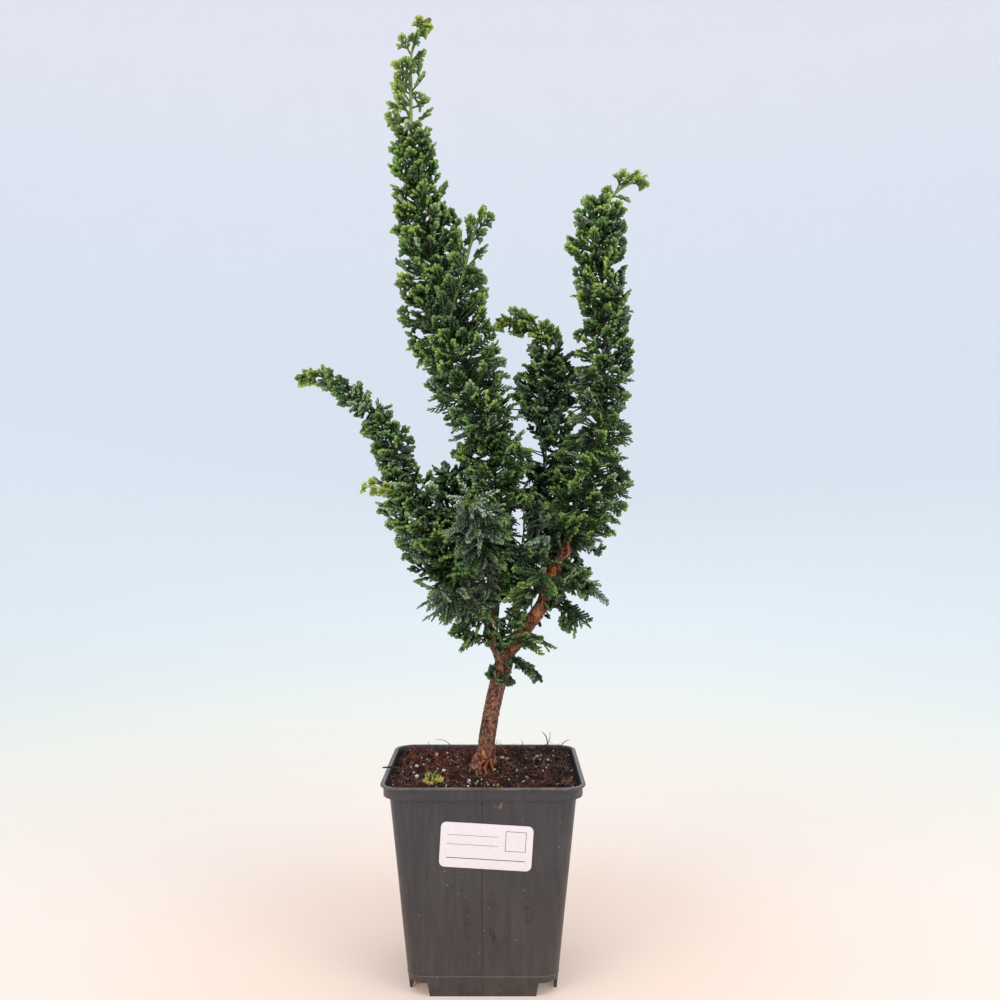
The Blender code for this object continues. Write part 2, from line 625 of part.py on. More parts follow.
def try_spray(corners, root, along, across, length, curl, others, own):
    """The spray's points and trees, or None where it would cross another solid or spray.

    Own holds the sprays that this stem already has: their palms, blades and stalks.
    """
    pairs = LARGE_SPRAY_PAIRS if length >= LARGE_SPRAY_FROM else SMALL_SPRAY_PAIRS
    guard = place_spray(root, along, across, length, pairs, curl, SPRAY_GAP)
    count = len(guard) - 2
    blade = search_tree(guard, blade_faces(count, 0))
    whole = list(guard) + list(corners)
    near = count + 2
    stalk = search_tree(whole, stalk_faces(near, near + 1, near + 2, near + 3, count, 0))
    if any(blade.overlap(other) for other in others) or any(stalk.overlap(other) for other in others[1:]):
        return None
    palm = Vector(guard[-1])
    for other_palm, other_blade, other_stalk in own:
        if (other_palm - palm).length > PALM_DISTANCE * SPRAY_LONGEST:
            continue
        if blade.overlap(other_blade) or blade.overlap(other_stalk) or stalk.overlap(other_blade):
            return None
    own.append((palm, blade, stalk))
    return place_spray(root, along, across, length, pairs, curl)


def ring_places(path, places):
    """The places of the rings along a stem, closer together where its sprays are short."""
    rings = [0.0]
    while rings[-1] < places[-1]:
        reach = float(np.interp(rings[-1], places, path[:, 3]))
        rings.append(rings[-1] + max(RING_STEP_LEAST, RING_STEP_SHARE * reach))
    scale = places[-1] / rings[-1]
    return [ring * scale for ring in rings]


def grow_stem(stem, others):
    """A leafy stem: a slim tube with a spray raised from each other face, shingled towards the tip.

    Others are the trees of what the sprays must miss, with what holds the stem first.
    """
    chance = random.Random(stem.name + " sprays")
    core = stem_core(stem)
    lean = math.radians(SPRAY_LEAN_DEG)
    rows, sides = len(core.rings), len(core.rings[0])
    vertices = [corner for ring in core.rings for corner in ring]
    faces = [tuple(range(sides - 1, -1, -1))]
    own = []
    for row in range(rows - 1):
        i = (core.indices[row] + core.indices[row + 1]) // 2
        ahead = core.ahead[i]
        bare = stem.start == "side" and core.along[row] < BARE_AT_WOOD
        for j in range(sides):
            k = (j + 1) % sides
            near, far = row * sides, (row + 1) * sides
            quad = (near + j, near + k, far + k, far + j)
            corners = [vertices[index] for index in quad]
            root = sum(corners) / 4
            outward = root - core.path[i, :3]
            outward -= ahead * np.dot(outward, ahead)
            radius = np.linalg.norm(outward)
            outward /= radius
            length = (core.path[i, 3] * chance.uniform(*REACH_SPREAD) - radius) / math.sin(lean)
            found = None
            tries = 0 if bare or (row + j) % 2 else SPRAY_TRIES
            for attempt in range(tries):
                tilt = lean + chance.uniform(-LEAN_SPREAD, LEAN_SPREAD)
                along = outward * math.sin(tilt) + ahead * math.cos(tilt)
                along = along + np.array((0.0, 0.0, stem.lift + chance.uniform(-LIFT_SPREAD, LIFT_SPREAD)))
                across = np.cross(ahead, outward)
                along = along + across * chance.uniform(-LEAN_SPREAD, LEAN_SPREAD)
                across = across + outward * chance.uniform(-ROLL_SPREAD, ROLL_SPREAD)
                size = min(SPRAY_LONGEST, max(SPRAY_SHORTEST, length * (1 - SPRAY_SHRINK * attempt)))
                curl = chance.uniform(*CURL_SPREAD)
                found = try_spray(corners, root, along, across, size, curl, others, own)
                if found is not None:
                    break
            if found is None:
                faces.append((quad[0], quad[1], quad[2]))
                faces.append((quad[0], quad[2], quad[3]))
                continue
            first = len(vertices)
            vertices.extend(found)
            count = len(found) - 2
            faces.extend(blade_faces(count, first))
            faces.extend(stalk_faces(*quad, count, first))
    last = (rows - 1) * sides
    if stem.goes_on:
        faces.append(tuple(range(last, last + sides)))
    else:
        faces.extend((last + j, last + (j + 1) % sides, len(vertices)) for j in range(sides))
        vertices.append(core.path[-1, :3])
    return make_object(stem.name, vertices, faces)


def tree_of(things):
    """A search tree over the faces of several objects, in millimetres."""
    points, faces = [], []
    for thing in things:
        first = len(points)
        points.extend(vertex.co / MM for vertex in thing.data.vertices)
        faces.extend([first + i for i in polygon.vertices] for polygon in thing.data.polygons)
    return BVHTree.FromPolygons(points, faces)


def copy_object(thing, name):
    """A separate object with its own copy of the mesh."""
    twin = bpy.data.objects.new(name, thing.data.copy())
    bpy.context.scene.collection.objects.link(twin)
    return twin


def make_foliage(wood_space):
    """Every leafy stem, seated on what holds it and clear of the others.

    Others holds the core of each stem that isn't grown yet, and the whole of each that is.
    """
    others = {}
    for stem in STEMS:
        points, faces = loft(stem_core(stem).rings)
        others[stem.name] = search_tree(points, faces)
    materials = {}
    for name, colour in FOLIAGE_COLOURS.items():
        materials[name] = make_material("foliage_" + name, colour, 0.6)
    for stem in STEMS:
        spaces = [copy_object(wood_space, "wood_space")]
        avoid = {name: others[name] for name in others if name != stem.name}
        if stem.start == "side" and stem.holder:
            core = stem_core(stem_named(stem.holder), GAP)
            spaces.append(make_object("core_space", *loft(core.rings)))
            del avoid[stem.holder]
        leafy = grow_stem(stem, [tree_of(spaces), *avoid.values()])
        others[stem.name] = tree_of([leafy])
        for space in spaces:
            combine(leafy, [space], "DIFFERENCE", "MANIFOLD")
        keep_largest_body(leafy)
        finish_object(leafy, materials[stem.colour])


def main():
    """Builds the whole object."""
    clear_scene()
    make_pot()
    make_label()
    trunk = make_wood("trunk", 0.0)
    finish_object(trunk, make_material("bark", BARK, 0.85), 40)
    make_soil(make_wood("trunk_space", GAP))
    wood_space = make_wood("wood_space", GAP)
    make_foliage(wood_space)
    bpy.data.objects.remove(wood_space, do_unlink=True)


main()
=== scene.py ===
import functools
import math

import bpy
import numpy as np
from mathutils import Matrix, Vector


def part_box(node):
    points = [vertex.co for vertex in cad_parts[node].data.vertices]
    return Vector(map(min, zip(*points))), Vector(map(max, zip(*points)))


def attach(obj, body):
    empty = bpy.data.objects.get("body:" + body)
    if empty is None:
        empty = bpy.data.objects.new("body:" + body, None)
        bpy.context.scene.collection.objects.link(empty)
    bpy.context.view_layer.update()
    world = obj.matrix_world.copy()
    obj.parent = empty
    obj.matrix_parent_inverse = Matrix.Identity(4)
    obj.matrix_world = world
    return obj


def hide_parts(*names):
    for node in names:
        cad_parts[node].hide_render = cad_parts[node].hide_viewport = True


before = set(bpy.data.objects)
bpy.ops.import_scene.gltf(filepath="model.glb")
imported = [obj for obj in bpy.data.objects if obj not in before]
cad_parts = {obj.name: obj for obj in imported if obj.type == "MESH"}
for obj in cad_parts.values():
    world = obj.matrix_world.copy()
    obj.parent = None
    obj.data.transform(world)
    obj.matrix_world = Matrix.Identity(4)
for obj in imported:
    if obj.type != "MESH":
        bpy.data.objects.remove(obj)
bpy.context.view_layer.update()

MM = 0.001


# The studio: a peach floor that curves up into a pale blue-grey wall all round, a camera that looks level
# at the tree, and broad soft lamps above it. It is matt card lit evenly, and none of it is the object.
CAMERA_PLACE = (9.1, -658.4, 266.7)
CAMERA_LENS = 41.43
STAGE_RADIUS = 2600.0
STAGE_HEIGHT = 3600.0
STAGE_BEND = 1500.0
STAGE_SIDES = 96


def linear(colour):
    """The linear colour of an sRGB hex: c/12.92, or ((c + 0.055)/1.055)^2.4 for a share c above 0.04045."""
    shares = [int(colour[i:i + 2], 16) / 255 for i in (1, 3, 5)]
    return (*(c / 12.92 if c <= 0.04045 else ((c + 0.055) / 1.055) ** 2.4 for c in shares), 1.0)


def fill(socket, value):
    """Gives a socket a number, a hex colour or a link."""
    if isinstance(value, bpy.types.NodeSocket):
        socket.id_data.links.new(value, socket)
    else:
        socket.default_value = linear(value) if isinstance(value, str) else value


def add_node(tree, kind, *values, out=None, stops=(), **named):
    """A new node's output; its kind may be followed by its operation, and stops are a ramp's colours.

    The values go to the sockets that the node shows, in order. Of the named ones, those with a capital go
    to the sockets of that name, and the others are settings.
    """
    kind, *operation = kind.split()
    node = tree.nodes.new("ShaderNode" + kind)
    if kind == "Mix":
        node.data_type = "RGBA"
    if operation:
        node.operation = operation[0]
    for name in filter(str.islower, named):
        setattr(node, name, named[name])
    for socket, value in zip([socket for socket in node.inputs if socket.enabled], values):
        fill(socket, value)
    for name in filter(str.istitle, named):
        fill(node.inputs[name], named[name])
    for _ in stops[2:]:
        node.color_ramp.elements.new(0.5)
    for element, (place, colour) in zip(node.color_ramp.elements if stops else (), stops):
        element.position = place
        element.color = linear(colour)
    return node.outputs[out] if out else next(socket for socket in node.outputs if socket.enabled)


def new_material(name, roughness, specular=0.5):
    """Starts a material of one shader: what adds a node to it, and what fills the shader and gives it."""
    material = bpy.data.materials.new(name)
    material.use_nodes = True
    shader = material.node_tree.nodes["Principled BSDF"]

    def finish(**sockets):
        """Fills the shader's sockets, written with _ for a space, and gives the material."""
        for socket, value in sockets.items():
            fill(shader.inputs[socket.replace("_", " ")], value)
        return material

    finish(Roughness=roughness, Specular_IOR_Level=specular)
    return functools.partial(add_node, material.node_tree), finish


def circle(count):
    """Angles at equal steps once round."""
    return np.linspace(0, 2 * math.pi, count, endpoint=False)


def add_layers(mesh, **layers):
    """Gives a mesh layers that hold a value for each point."""
    for layer, values in layers.items():
        mesh.attributes.new(layer, "FLOAT", "POINT").data.foreach_set("value", np.asarray(values, np.float32))


def mesh_piece(name, points, faces, material, smooth=True, **layers):
    """An object from points in millimetres, faces, and layers of the points' values."""
    mesh = bpy.data.meshes.new(name)
    points = np.asarray(points) * MM
    if isinstance(faces, np.ndarray):
        mesh.vertices.add(len(points))
        mesh.vertices.foreach_set("co", points.astype(np.float32).ravel())
        mesh.loops.add(faces.size)
        mesh.loops.foreach_set("vertex_index", faces.astype(np.int32).ravel())
        mesh.polygons.add(len(faces))
        mesh.polygons.foreach_set("loop_start", np.arange(0, faces.size, faces.shape[1], dtype=np.int32))
    else:
        mesh.from_pydata(points.tolist(), [], faces)
    mesh.update(calc_edges=True)
    mesh.validate()
    mesh.polygons.foreach_set("use_smooth", [smooth] * len(mesh.polygons))
    add_layers(mesh, **layers)
    mesh.materials.append(material)
    piece = bpy.data.objects.new(name, mesh)
    bpy.context.scene.collection.objects.link(piece)
    return piece


def grid_faces(rows, columns, closed=False):
    """The four-sided faces of a grid of points; a closed one joins its last column to the first."""
    row = np.arange(rows - 1)[:, None]
    column = np.arange(columns if closed else columns - 1)[None, :]
    beside = (column + 1) % columns
    here, above = row * columns, (row + 1) * columns
    corners = np.broadcast_arrays(here + column, here + beside, above + beside, above + column)
    return np.stack(corners, axis=-1).reshape(-1, 4)


def stage_sweep():
    """A turned sweep: flat out to the bend's start, a quarter circle up, then straight to the top.

    Also gives each point's run, which is the distance along the sweep from the middle, in metres.
    """
    turn = np.linspace(0, math.pi / 2, 17)
    flat = np.linspace(1.0, STAGE_RADIUS - STAGE_BEND, 12)[:-1]
    radius = np.concatenate((flat, STAGE_RADIUS - STAGE_BEND + STAGE_BEND * np.sin(turn), [STAGE_RADIUS]))
    height = np.concatenate((np.zeros(len(flat)), STAGE_BEND - STAGE_BEND * np.cos(turn), [STAGE_HEIGHT]))
    run = np.concatenate(([0.0], np.cumsum(np.hypot(np.diff(radius), np.diff(height))))) * MM
    around = circle(STAGE_SIDES)
    across = radius[:, None] * np.cos(around), radius[:, None] * np.sin(around)
    points = np.stack((*across, np.broadcast_to(height[:, None], across[0].shape)), axis=-1)
    faces = grid_faces(len(radius), len(around), closed=True)[:, ::-1]
    return points.reshape(-1, 3), faces, np.repeat(run, len(around))


def stage_card():
    """Matt card: peach underfoot, greenish white farther off and pale blue up the wall, glowing a little."""
    add, finish = new_material("studio card", 0.9, 0.1)
    share = add("Math MULTIPLY", add("Attribute", out="Fac", attribute_name="run"), 0.2)
    colour = add("ValToRGB", share, stops=(
        (0.025, "#e6d1c2"), (0.055, "#e3d7cc"), (0.17, "#e0e3db"), (0.30, "#dbe4e6"), (0.50, "#dae3ea"),
        (0.75, "#e9e6ec")))
    return finish(Base_Color=colour, Emission_Color=colour, Emission_Strength=0.26)


stage_points, stage_faces, stage_run = stage_sweep()
mesh_piece("stage", stage_points, stage_faces, stage_card(), run=stage_run)


def soft_lamp(name, place, target, size, power):
    """A square lamp at a place in millimetres, facing its target."""
    lamp = bpy.data.lights.new(name, "AREA")
    lamp.size = size * MM
    lamp.energy = power
    thing = bpy.data.objects.new(name, lamp)
    bpy.context.scene.collection.objects.link(thing)
    away = np.subtract(place, target)
    thing.location = np.multiply(place, MM)
    thing.rotation_euler = (math.acos(away[2] / np.linalg.norm(away)), 0, math.atan2(away[0], -away[1]))


soft_lamp("lamp_over", (60, -350, 1500), (0, 0, 250), 1100, 8.5)
soft_lamp("lamp_left", (-900, -1150, 900), (0, 0, 250), 800, 6.0)
soft_lamp("lamp_right", (1000, -1050, 800), (0, 0, 250), 800, 5.5)
soft_lamp("lamp_back", (200, 1300, 1200), (0, 0, 300), 900, 3.0)

world = bpy.data.worlds.new("studio air")
world.use_nodes = True
for socket, value in (("Color", "#e8edf4"), ("Strength", 0.38)):
    fill(world.node_tree.nodes["Background"].inputs[socket], value)
bpy.context.scene.world = world

camera = bpy.data.objects.new("camera", bpy.data.cameras.new("camera"))
camera.data.lens = CAMERA_LENS
camera.data.sensor_width = 36.0
camera.data.clip_end = 20.0
camera.location = np.multiply(CAMERA_PLACE, MM)
camera.rotation_euler = (math.pi / 2, 0, 0)
bpy.context.scene.collection.objects.link(camera)
bpy.context.scene.camera = camera
bpy.context.scene.view_settings.view_transform = "Standard"


# The pot: one injection moulding of dark grey polypropylene, 1.4 mm thick, with a lip flange, a collar
# band, tapered walls, and a floor raised on foot skirts, ribs and a hub. Its openings are cut below.
LIP_HALF = 1000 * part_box("pot")[1][0]
POT_HEIGHT = 1000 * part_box("pot")[1][2]
POT_WALL = 1.4
COLLAR_WALL = 0.9
LIP_THICKNESS = 1.5
COLLAR_HALF = 52.6
COLLAR_PROUD = 0.9
COLLAR_BOTTOM = 108.4
BODY_TOP_HALF = 50.3
BODY_TOP = 107.8
BODY_BOTTOM_HALF = 40.1
FOOT_CORNER = 10.0
CORNER_RADIUS = 11.0
LIP_CORNER = 13.0
CORNER_STEPS = 10
SIDE_STEPS = 14
LEDGE_RISE = 1.2
FLOOR_TOP = 9.6
FLOOR_THICKNESS = 1.6
RIB_THICKNESS = 1.8
HUB_RADIUS = 9.0
SKIRT_WIDTH = 57.0
SKIRT_SLANT = 1.5
SKIRT_HEIGHT = 7.4
DRAIN_RADIUS = 4.0
DRAIN_PLACE = 24.0
WALL_BOW = 0.25
BOW_LENGTH = 38.0
BOW_FADES = (30.0, 12.0)
LIP_WAVE = 0.3
WAVE_LENGTH = 16.0
WAVE_ABOVE = 112.0
MOULD_LINE_X = -0.4


def lumps(points, size, seed):
    """Smooth noise from -1 to 1: random values on a lattice of this spacing, blended by 3t^2 - 2t^3."""
    scaled = np.asarray(points, float) / size + 1000.0
    cells = np.floor(scaled).astype(np.int64)
    share = scaled - cells
    share = share * share * (3 - 2 * share)
    total = np.zeros(len(scaled))
    for corner in range(8):
        offset = np.array((corner & 1, corner >> 1 & 1, corner >> 2 & 1))
        spot = cells + offset
        mixed = (spot[:, 0] * 73856093) ^ (spot[:, 1] * 19349663) ^ (spot[:, 2] * 83492791) ^ (seed * 7919)
        mixed = ((mixed ^ (mixed >> 13)) * 1274126177) & 0x7FFFFFFF
        value = ((mixed ^ (mixed >> 11)) % 65536) / 32767.5 - 1
        total += value * np.prod(np.where(offset, share, 1 - share), axis=1)
    return total


def unit(vectors):
    """Vectors made one long."""
    return vectors / np.linalg.norm(vectors, axis=-1, keepdims=True)


def quarter_turned(plan, quarter):
    """Plan points turned by so many right angles."""
    c, s = ((1, 0), (0, 1), (-1, 0), (0, -1))[quarter]
    return np.asarray(plan) @ np.array(((c, s), (-s, c)))


def at_height(plan, z):
    """Plan points as points at one height."""
    return np.column_stack((plan, np.full(len(plan), z)))


def square_ring(half, radius):
    """Plan points (x, y) round a square of this half width whose corners are arcs of this radius."""
    corner = np.linspace(0, math.pi / 2, CORNER_STEPS + 1)
    straight = np.linspace(-1, 1, SIDE_STEPS + 1)[1:-1] * (half - radius)
    arc = half - radius + radius * np.column_stack((np.cos(corner), np.sin(corner)))
    quarter = np.concatenate((arc, np.column_stack((-straight, np.full(len(straight), half)))))
    return np.concatenate([quarter_turned(quarter, k) for k in range(4)])


def wall_half(z):
    """Half the width over the walls at a height: they taper evenly from the collar down to the foot."""
    return BODY_BOTTOM_HALF + (BODY_TOP_HALF - BODY_BOTTOM_HALF) * z / BODY_TOP


def pot_skin():
    """The pot's skin as rings: a profile (half width, height) from the outer foot over the lip to the floor.

    The walls bow inward by broad lumps that fade at the foot and the lip, and the lip waves up and down.
    """
    inner = COLLAR_HALF + COLLAR_PROUD - COLLAR_WALL
    lip_low = POT_HEIGHT - LIP_THICKNESS
    band = COLLAR_HALF + COLLAR_PROUD
    outer = [(wall_half(z), z) for z in np.linspace(0, BODY_TOP, 13)]
    outer += [(BODY_TOP_HALF + 0.5, BODY_TOP + 0.35), (band - 0.9, COLLAR_BOTTOM - 0.15),
              (band - 0.25, COLLAR_BOTTOM + 0.1), (band, COLLAR_BOTTOM + 0.6),
              (band, lip_low - 1.0), (band + 0.12, lip_low - 0.35), (band + 0.4, lip_low)]
    outer += [(LIP_HALF - 0.7 + 0.7 * math.cos(t), lip_low + LIP_THICKNESS * (1 + math.sin(t)) / 2)
              for t in np.linspace(-math.pi / 2, math.pi / 2, 7)]
    inside = [(inner + 0.5, POT_HEIGHT), (inner + 0.12, POT_HEIGHT - 0.15), (inner, POT_HEIGHT - 0.6),
              (inner, COLLAR_BOTTOM + LEDGE_RISE + 0.5), (inner - 0.4, COLLAR_BOTTOM + LEDGE_RISE),
              (BODY_TOP_HALF - POT_WALL, BODY_TOP + LEDGE_RISE - 0.3),
              (wall_half(FLOOR_TOP) - POT_WALL, FLOOR_TOP)]
    profile = np.array(outer + inside)
    halves = (BODY_BOTTOM_HALF, BODY_TOP_HALF, LIP_HALF)
    radius = np.interp(profile[:, 0], halves, (FOOT_CORNER, CORNER_RADIUS, LIP_CORNER))
    radius[len(outer):] -= POT_WALL
    rings = np.array([at_height(square_ring(half, r), z) for (half, z), r in zip(profile, radius)])
    flat = rings.reshape(-1, 3)
    plan, z = flat[:, :2], flat[:, 2]
    fade = np.clip(z / BOW_FADES[0], 0, 1) * np.clip((POT_HEIGHT - z) / BOW_FADES[1], 0, 1)
    bow = WALL_BOW * fade * (0.6 + 0.6 * lumps(flat, BOW_LENGTH, 5))
    plan -= unit(plan) * bow[:, None]
    wave = 0.5 + 0.5 * lumps(at_height(plan, 0), WAVE_LENGTH, 6)
    z -= LIP_WAVE * np.clip((z - WAVE_ABOVE) / 2, 0, 1) * wave
    return flat.reshape(rings.shape)


def capped(rings):
    """Points and faces of a closed skin through rings of equal count, with a flat cap at both ends."""
    rows, columns = rings.shape[:2]
    faces = grid_faces(rows, columns, closed=True).tolist()
    faces.append(list(range(columns - 1, -1, -1)))
    faces.append(list(range((rows - 1) * columns, rows * columns)))
    return rings.reshape(-1, 3), faces


def prism(plan_low, plan_high, low, high, quarter):
    """A closed block between two plan outlines at two heights, turned by a number of right angles."""
    ends = ((plan_low, low), (plan_high, high))
    return capped(np.array([at_height(quarter_turned(plan, quarter), z) for plan, z in ends]))


def pot_hollows():
    """What the mould leaves out: pockets under the floor, corners between the skirts, and drain holes."""
    near = RIB_THICKNESS / 2
    far = BODY_BOTTOM_HALF - POT_WALL
    pocket = ((HUB_RADIUS, near), (far, near), (far, far), (near, far), (near, HUB_RADIUS))
    turn = circle(32)
    drain = DRAIN_PLACE + DRAIN_RADIUS * np.column_stack((np.cos(turn), np.sin(turn)))
    corners = []
    for z in (-1.0, SKIRT_HEIGHT):
        a, b = SKIRT_WIDTH / 2 + SKIRT_SLANT * z / SKIRT_HEIGHT, BODY_TOP_HALF
        corners.append(((a, a), (b, a), (b, b), (a, b)))
    under = FLOOR_TOP - FLOOR_THICKNESS
    for quarter in range(4):
        yield prism(pocket, pocket, -1.0, under, quarter)
        yield prism(*corners, -1.0, SKIRT_HEIGHT, quarter)
        yield prism(drain, drain, under - 1, FLOOR_TOP + 1, quarter)


def modify(piece, kind, **settings):
    """Replaces the piece's mesh by what a modifier with these settings makes of it."""
    modifier = piece.modifiers.new(kind, kind)
    for name, value in settings.items():
        setattr(modifier, name, value)
    evaluated = piece.evaluated_get(bpy.context.evaluated_depsgraph_get())
    mesh = bpy.data.meshes.new_from_object(evaluated)
    piece.modifiers.clear()
    piece.data = mesh


# Scuffs and dried mud on the front wall, as (x, z, half width, half height, colour), at about this depth.
# The bead round the foot is painted lighter along its line.
POT_MARKS = (
    (5.0, 34.0, 3.0, 5.5, "#1c1817"), (4.4, 25.0, 2.2, 5.0, "#1f1b1a"), (4.5, 52.0, 2.6, 7.0, "#2a2422"),
    (-8.0, 40.0, 3.0, 14.0, "#2c2624"), (24.0, 48.0, 4.5, 10.0, "#292322"), (8.6, 105.2, 3.4, 2.4, "#8a6650"),
)
FRONT_MARKS_Y = 46.0
MARKS_DEPTH = 15.0
BEAD_Z = 10.9


def moulded_polypropylene():
    """Recycled polypropylene: dark satin grey, browner below, streaked, dusty on the lip.

    Its bluer grey up the upper walls, collar and lip is a painted reflection of the pale blue air.
    """
    add, finish = new_material("moulded polypropylene", 0.42)
    place = add("TexCoord", out="Object")
    across, height = (add("SeparateXYZ", place, out=axis) for axis in "XZ")
    # Painted reflection: by height the base colour goes from brown-grey at the foot to bluer grey at the lip.
    colour = add("ValToRGB", add("Math MULTIPLY", height, 8), stops=(
        (0.0, "#332d2b"), (0.45, "#333032"), (0.8, "#302e33"), (0.95, "#36353b")))
    streaks = add("TexNoise", add("Mapping", place, Scale=(420, 420, 9)), Scale=1, Detail=3)
    runs = add("TexNoise", add("Mapping", place, Scale=(130, 130, 22)), Scale=1, Detail=5, Distortion=0.6)
    from_seam, from_bead = (add("Math ABSOLUTE", add("Math ADD", value, -line * MM))
                            for value, line in ((across, MOULD_LINE_X), (height, BEAD_Z)))
    dusty = add("TexNoise", place, Scale=190, Detail=6, Roughness=0.7)
    low, lip = (add("MapRange", height, *span) for span in ((0.03, 0, 0, 0.12), (0.1138, 0.1153, 0, 0.55)))
    smears = add("TexNoise", place, Scale=85, Detail=8, Roughness=0.65)
    layers = [
        (add("MapRange", add("TexNoise", place, Scale=26, Detail=4), 0.35, 0.7, 0, 0.35), "#4a4441"),
        (add("MapRange", streaks, 0.45, 0.75, 0, 0.20), "#5f5a58"),
        (add("MapRange", runs, 0.58, 0.70, 0, 0.55), "#262321"),
        (add("MapRange", from_seam, 0.0007, 0.0002, 0, 0.55), "#1f1a18"),
        # A thin lighter line painted along the bead round the foot.
        (add("MapRange", from_bead, 0.0005, 0.0002, 0, 0.4), "#746b67"),
        (add("Math MULTIPLY", add("MapRange", dusty, 0.40, 0.65), add("Math MAXIMUM", low, lip)), "#8b7f75"),
        (add("Math MULTIPLY", add("MapRange", smears, 0.60, 0.72, 0, 0.7),
             add("MapRange", height, 0.100, 0.112)), "#6a5140"),
    ]
    rubbed = add("TexNoise", add("Mapping", place, Scale=(700, 700, 220)), Scale=1, Detail=3, Distortion=1.2)
    rubbed = add("MapRange", rubbed, 0.46, 0.58, 0, 0.85)
    for x, z, half_x, half_z, tone in POT_MARKS:
        spot = add("Mapping", place, Scale=(1000 / half_x, 1000 / MARKS_DEPTH, 1000 / half_z),
                   Location=(-x / half_x, FRONT_MARKS_Y / MARKS_DEPTH, -z / half_z))
        mark = add("MapRange", add("VectorMath LENGTH", spot), 1, 0.6)
        layers.append((add("Math MULTIPLY", mark, rubbed), tone))
    layers.append((add("MapRange", add("TexVoronoi", place, Scale=210), 0.06, 0.04, 0, 0.8), "#b9b0a8"))
    for mask, tone in layers:
        colour = add("Mix", mask, colour, tone)
    skin = add("Math ADD", add("TexNoise", place, Scale=1400, Detail=2), streaks)
    return finish(Base_Color=colour, Roughness=add("MapRange", dusty, 0.35, 0.7, 0.36, 0.52),
                  Normal=add("Bump", Strength=0.12, Distance=0.0002, Height=skin))


plastic = moulded_polypropylene()
pot = mesh_piece("nursery_pot", *capped(pot_skin()), plastic)
for block in pot_hollows():
    cutter = mesh_piece("cutter", *block, plastic)
    modify(pot, "BOOLEAN", operation="DIFFERENCE", object=cutter)
    bpy.data.objects.remove(cutter, do_unlink=True)
pot.data.set_sharp_from_angle(angle=math.radians(38))
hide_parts("pot")
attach(pot, "root")


# The mould marks on the front wall: the raised seam where the two mould halves met, and the thin bead
# round the foot where the walls meet the floor. They are part of the same polypropylene skin.
SEAM_HALF = 0.25
SEAM_HEIGHT = 0.12
SEAM_BOTTOM = 9.5
BEAD_RADIUS = 0.3
BEAD_SUNK = 0.12


def front_wall(x, z, proud):
    """Points on the front wall's slope at these places, standing proud of it by so much."""
    return np.stack(np.broadcast_arrays(x, -wall_half(z) - proud, z), axis=-1)


def mould_seam():
    """A ridge 0.5 mm wide and 0.12 mm high up the middle of the wall: a flat arch carried upward."""
    z = np.linspace(SEAM_BOTTOM, BODY_TOP - 1.0, 60)[:, None]
    across = np.linspace(-1, 1, 5)[None, :]
    points = front_wall(MOULD_LINE_X + SEAM_HALF * across, z, SEAM_HEIGHT * (1 - across ** 2) - 0.1)
    return points.reshape(-1, 3), grid_faces(60, 5)


def foot_bead():
    """A bead 0.3 mm high round the walls: a half circle of that radius swept along the rounded square."""
    half = wall_half(BEAD_Z) - BEAD_SUNK
    turn = np.linspace(-math.pi / 2, math.pi / 2, 5)
    rings = [at_height(square_ring(half + BEAD_RADIUS * math.cos(t), FOOT_CORNER),
                       BEAD_Z + BEAD_RADIUS * math.sin(t)) for t in turn]
    return np.concatenate(rings), grid_faces(5, len(rings[0]), closed=True)


for name, shape in (("mould_seam", mould_seam()), ("foot_bead", foot_bead())):
    mark = mesh_piece(name, *shape, plastic)
    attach(mark, "root")


# The label: a coated paper sticker, 0.35 mm thick with round corners, pressed on by hand a little askew.
# It carries only plain ruled lines and an empty box to write in.
LABEL_WIDTH = 49.2
LABEL_HEIGHT = 24.6
LABEL_CORNER = 3.0
LABEL_X = 1.8
LABEL_Z = 82.9
LABEL_TILT = math.radians(-3.5)
LABEL_THICKNESS = 0.35
LABEL_GAP = 0.02
CORNER_LIFT = 0.2
LIFTED_ABOVE = 4.0
# Printed strokes as (middle x, middle z, half width, half height) in the label's own millimetres.
RULES = ((-7.5, 5.5, 13.5, 0.12), (-7.5, 0.5, 13.5, 0.12), (0.0, -7.0, 21.0, 0.22))
BOX = ((15.5, 3.5, 5.5, 5.5), (15.5, 3.5, 5.2, 5.2))


def label_sheet():
    """A closed thin sheet: rounded-rectangle rings from the middle out over its edge and back underneath."""
    outline, rings = [], []
    for quarter, signs in enumerate(((1, 1), (-1, 1), (-1, -1), (1, -1))):
        corner = np.linspace(0, math.pi / 2, 9) + quarter * math.pi / 2
        centre = np.array((LABEL_WIDTH, LABEL_HEIGHT)) / 2 - LABEL_CORNER
        outline.append(signs * centre + LABEL_CORNER * np.column_stack((np.cos(corner), np.sin(corner))))
    outline = np.concatenate(outline)
    for share, height in (
            (0.02, 1), (0.5, 1), (0.97, 1), (0.996, 0.85), (1, 0.5), (1, 0), (0.5, 0), (0.02, 0)):
        u, v = (outline * share).T
        lift = CORNER_LIFT * np.clip((np.abs(u) / (LABEL_WIDTH / 2)) ** 8 * (v > LIFTED_ABOVE), 0, 1)
        x = LABEL_X + u * math.cos(LABEL_TILT) - v * math.sin(LABEL_TILT)
        z = LABEL_Z + u * math.sin(LABEL_TILT) + v * math.cos(LABEL_TILT)
        rings.append(front_wall(x, z, LABEL_GAP + height * LABEL_THICKNESS + lift))
    return capped(np.array(rings))


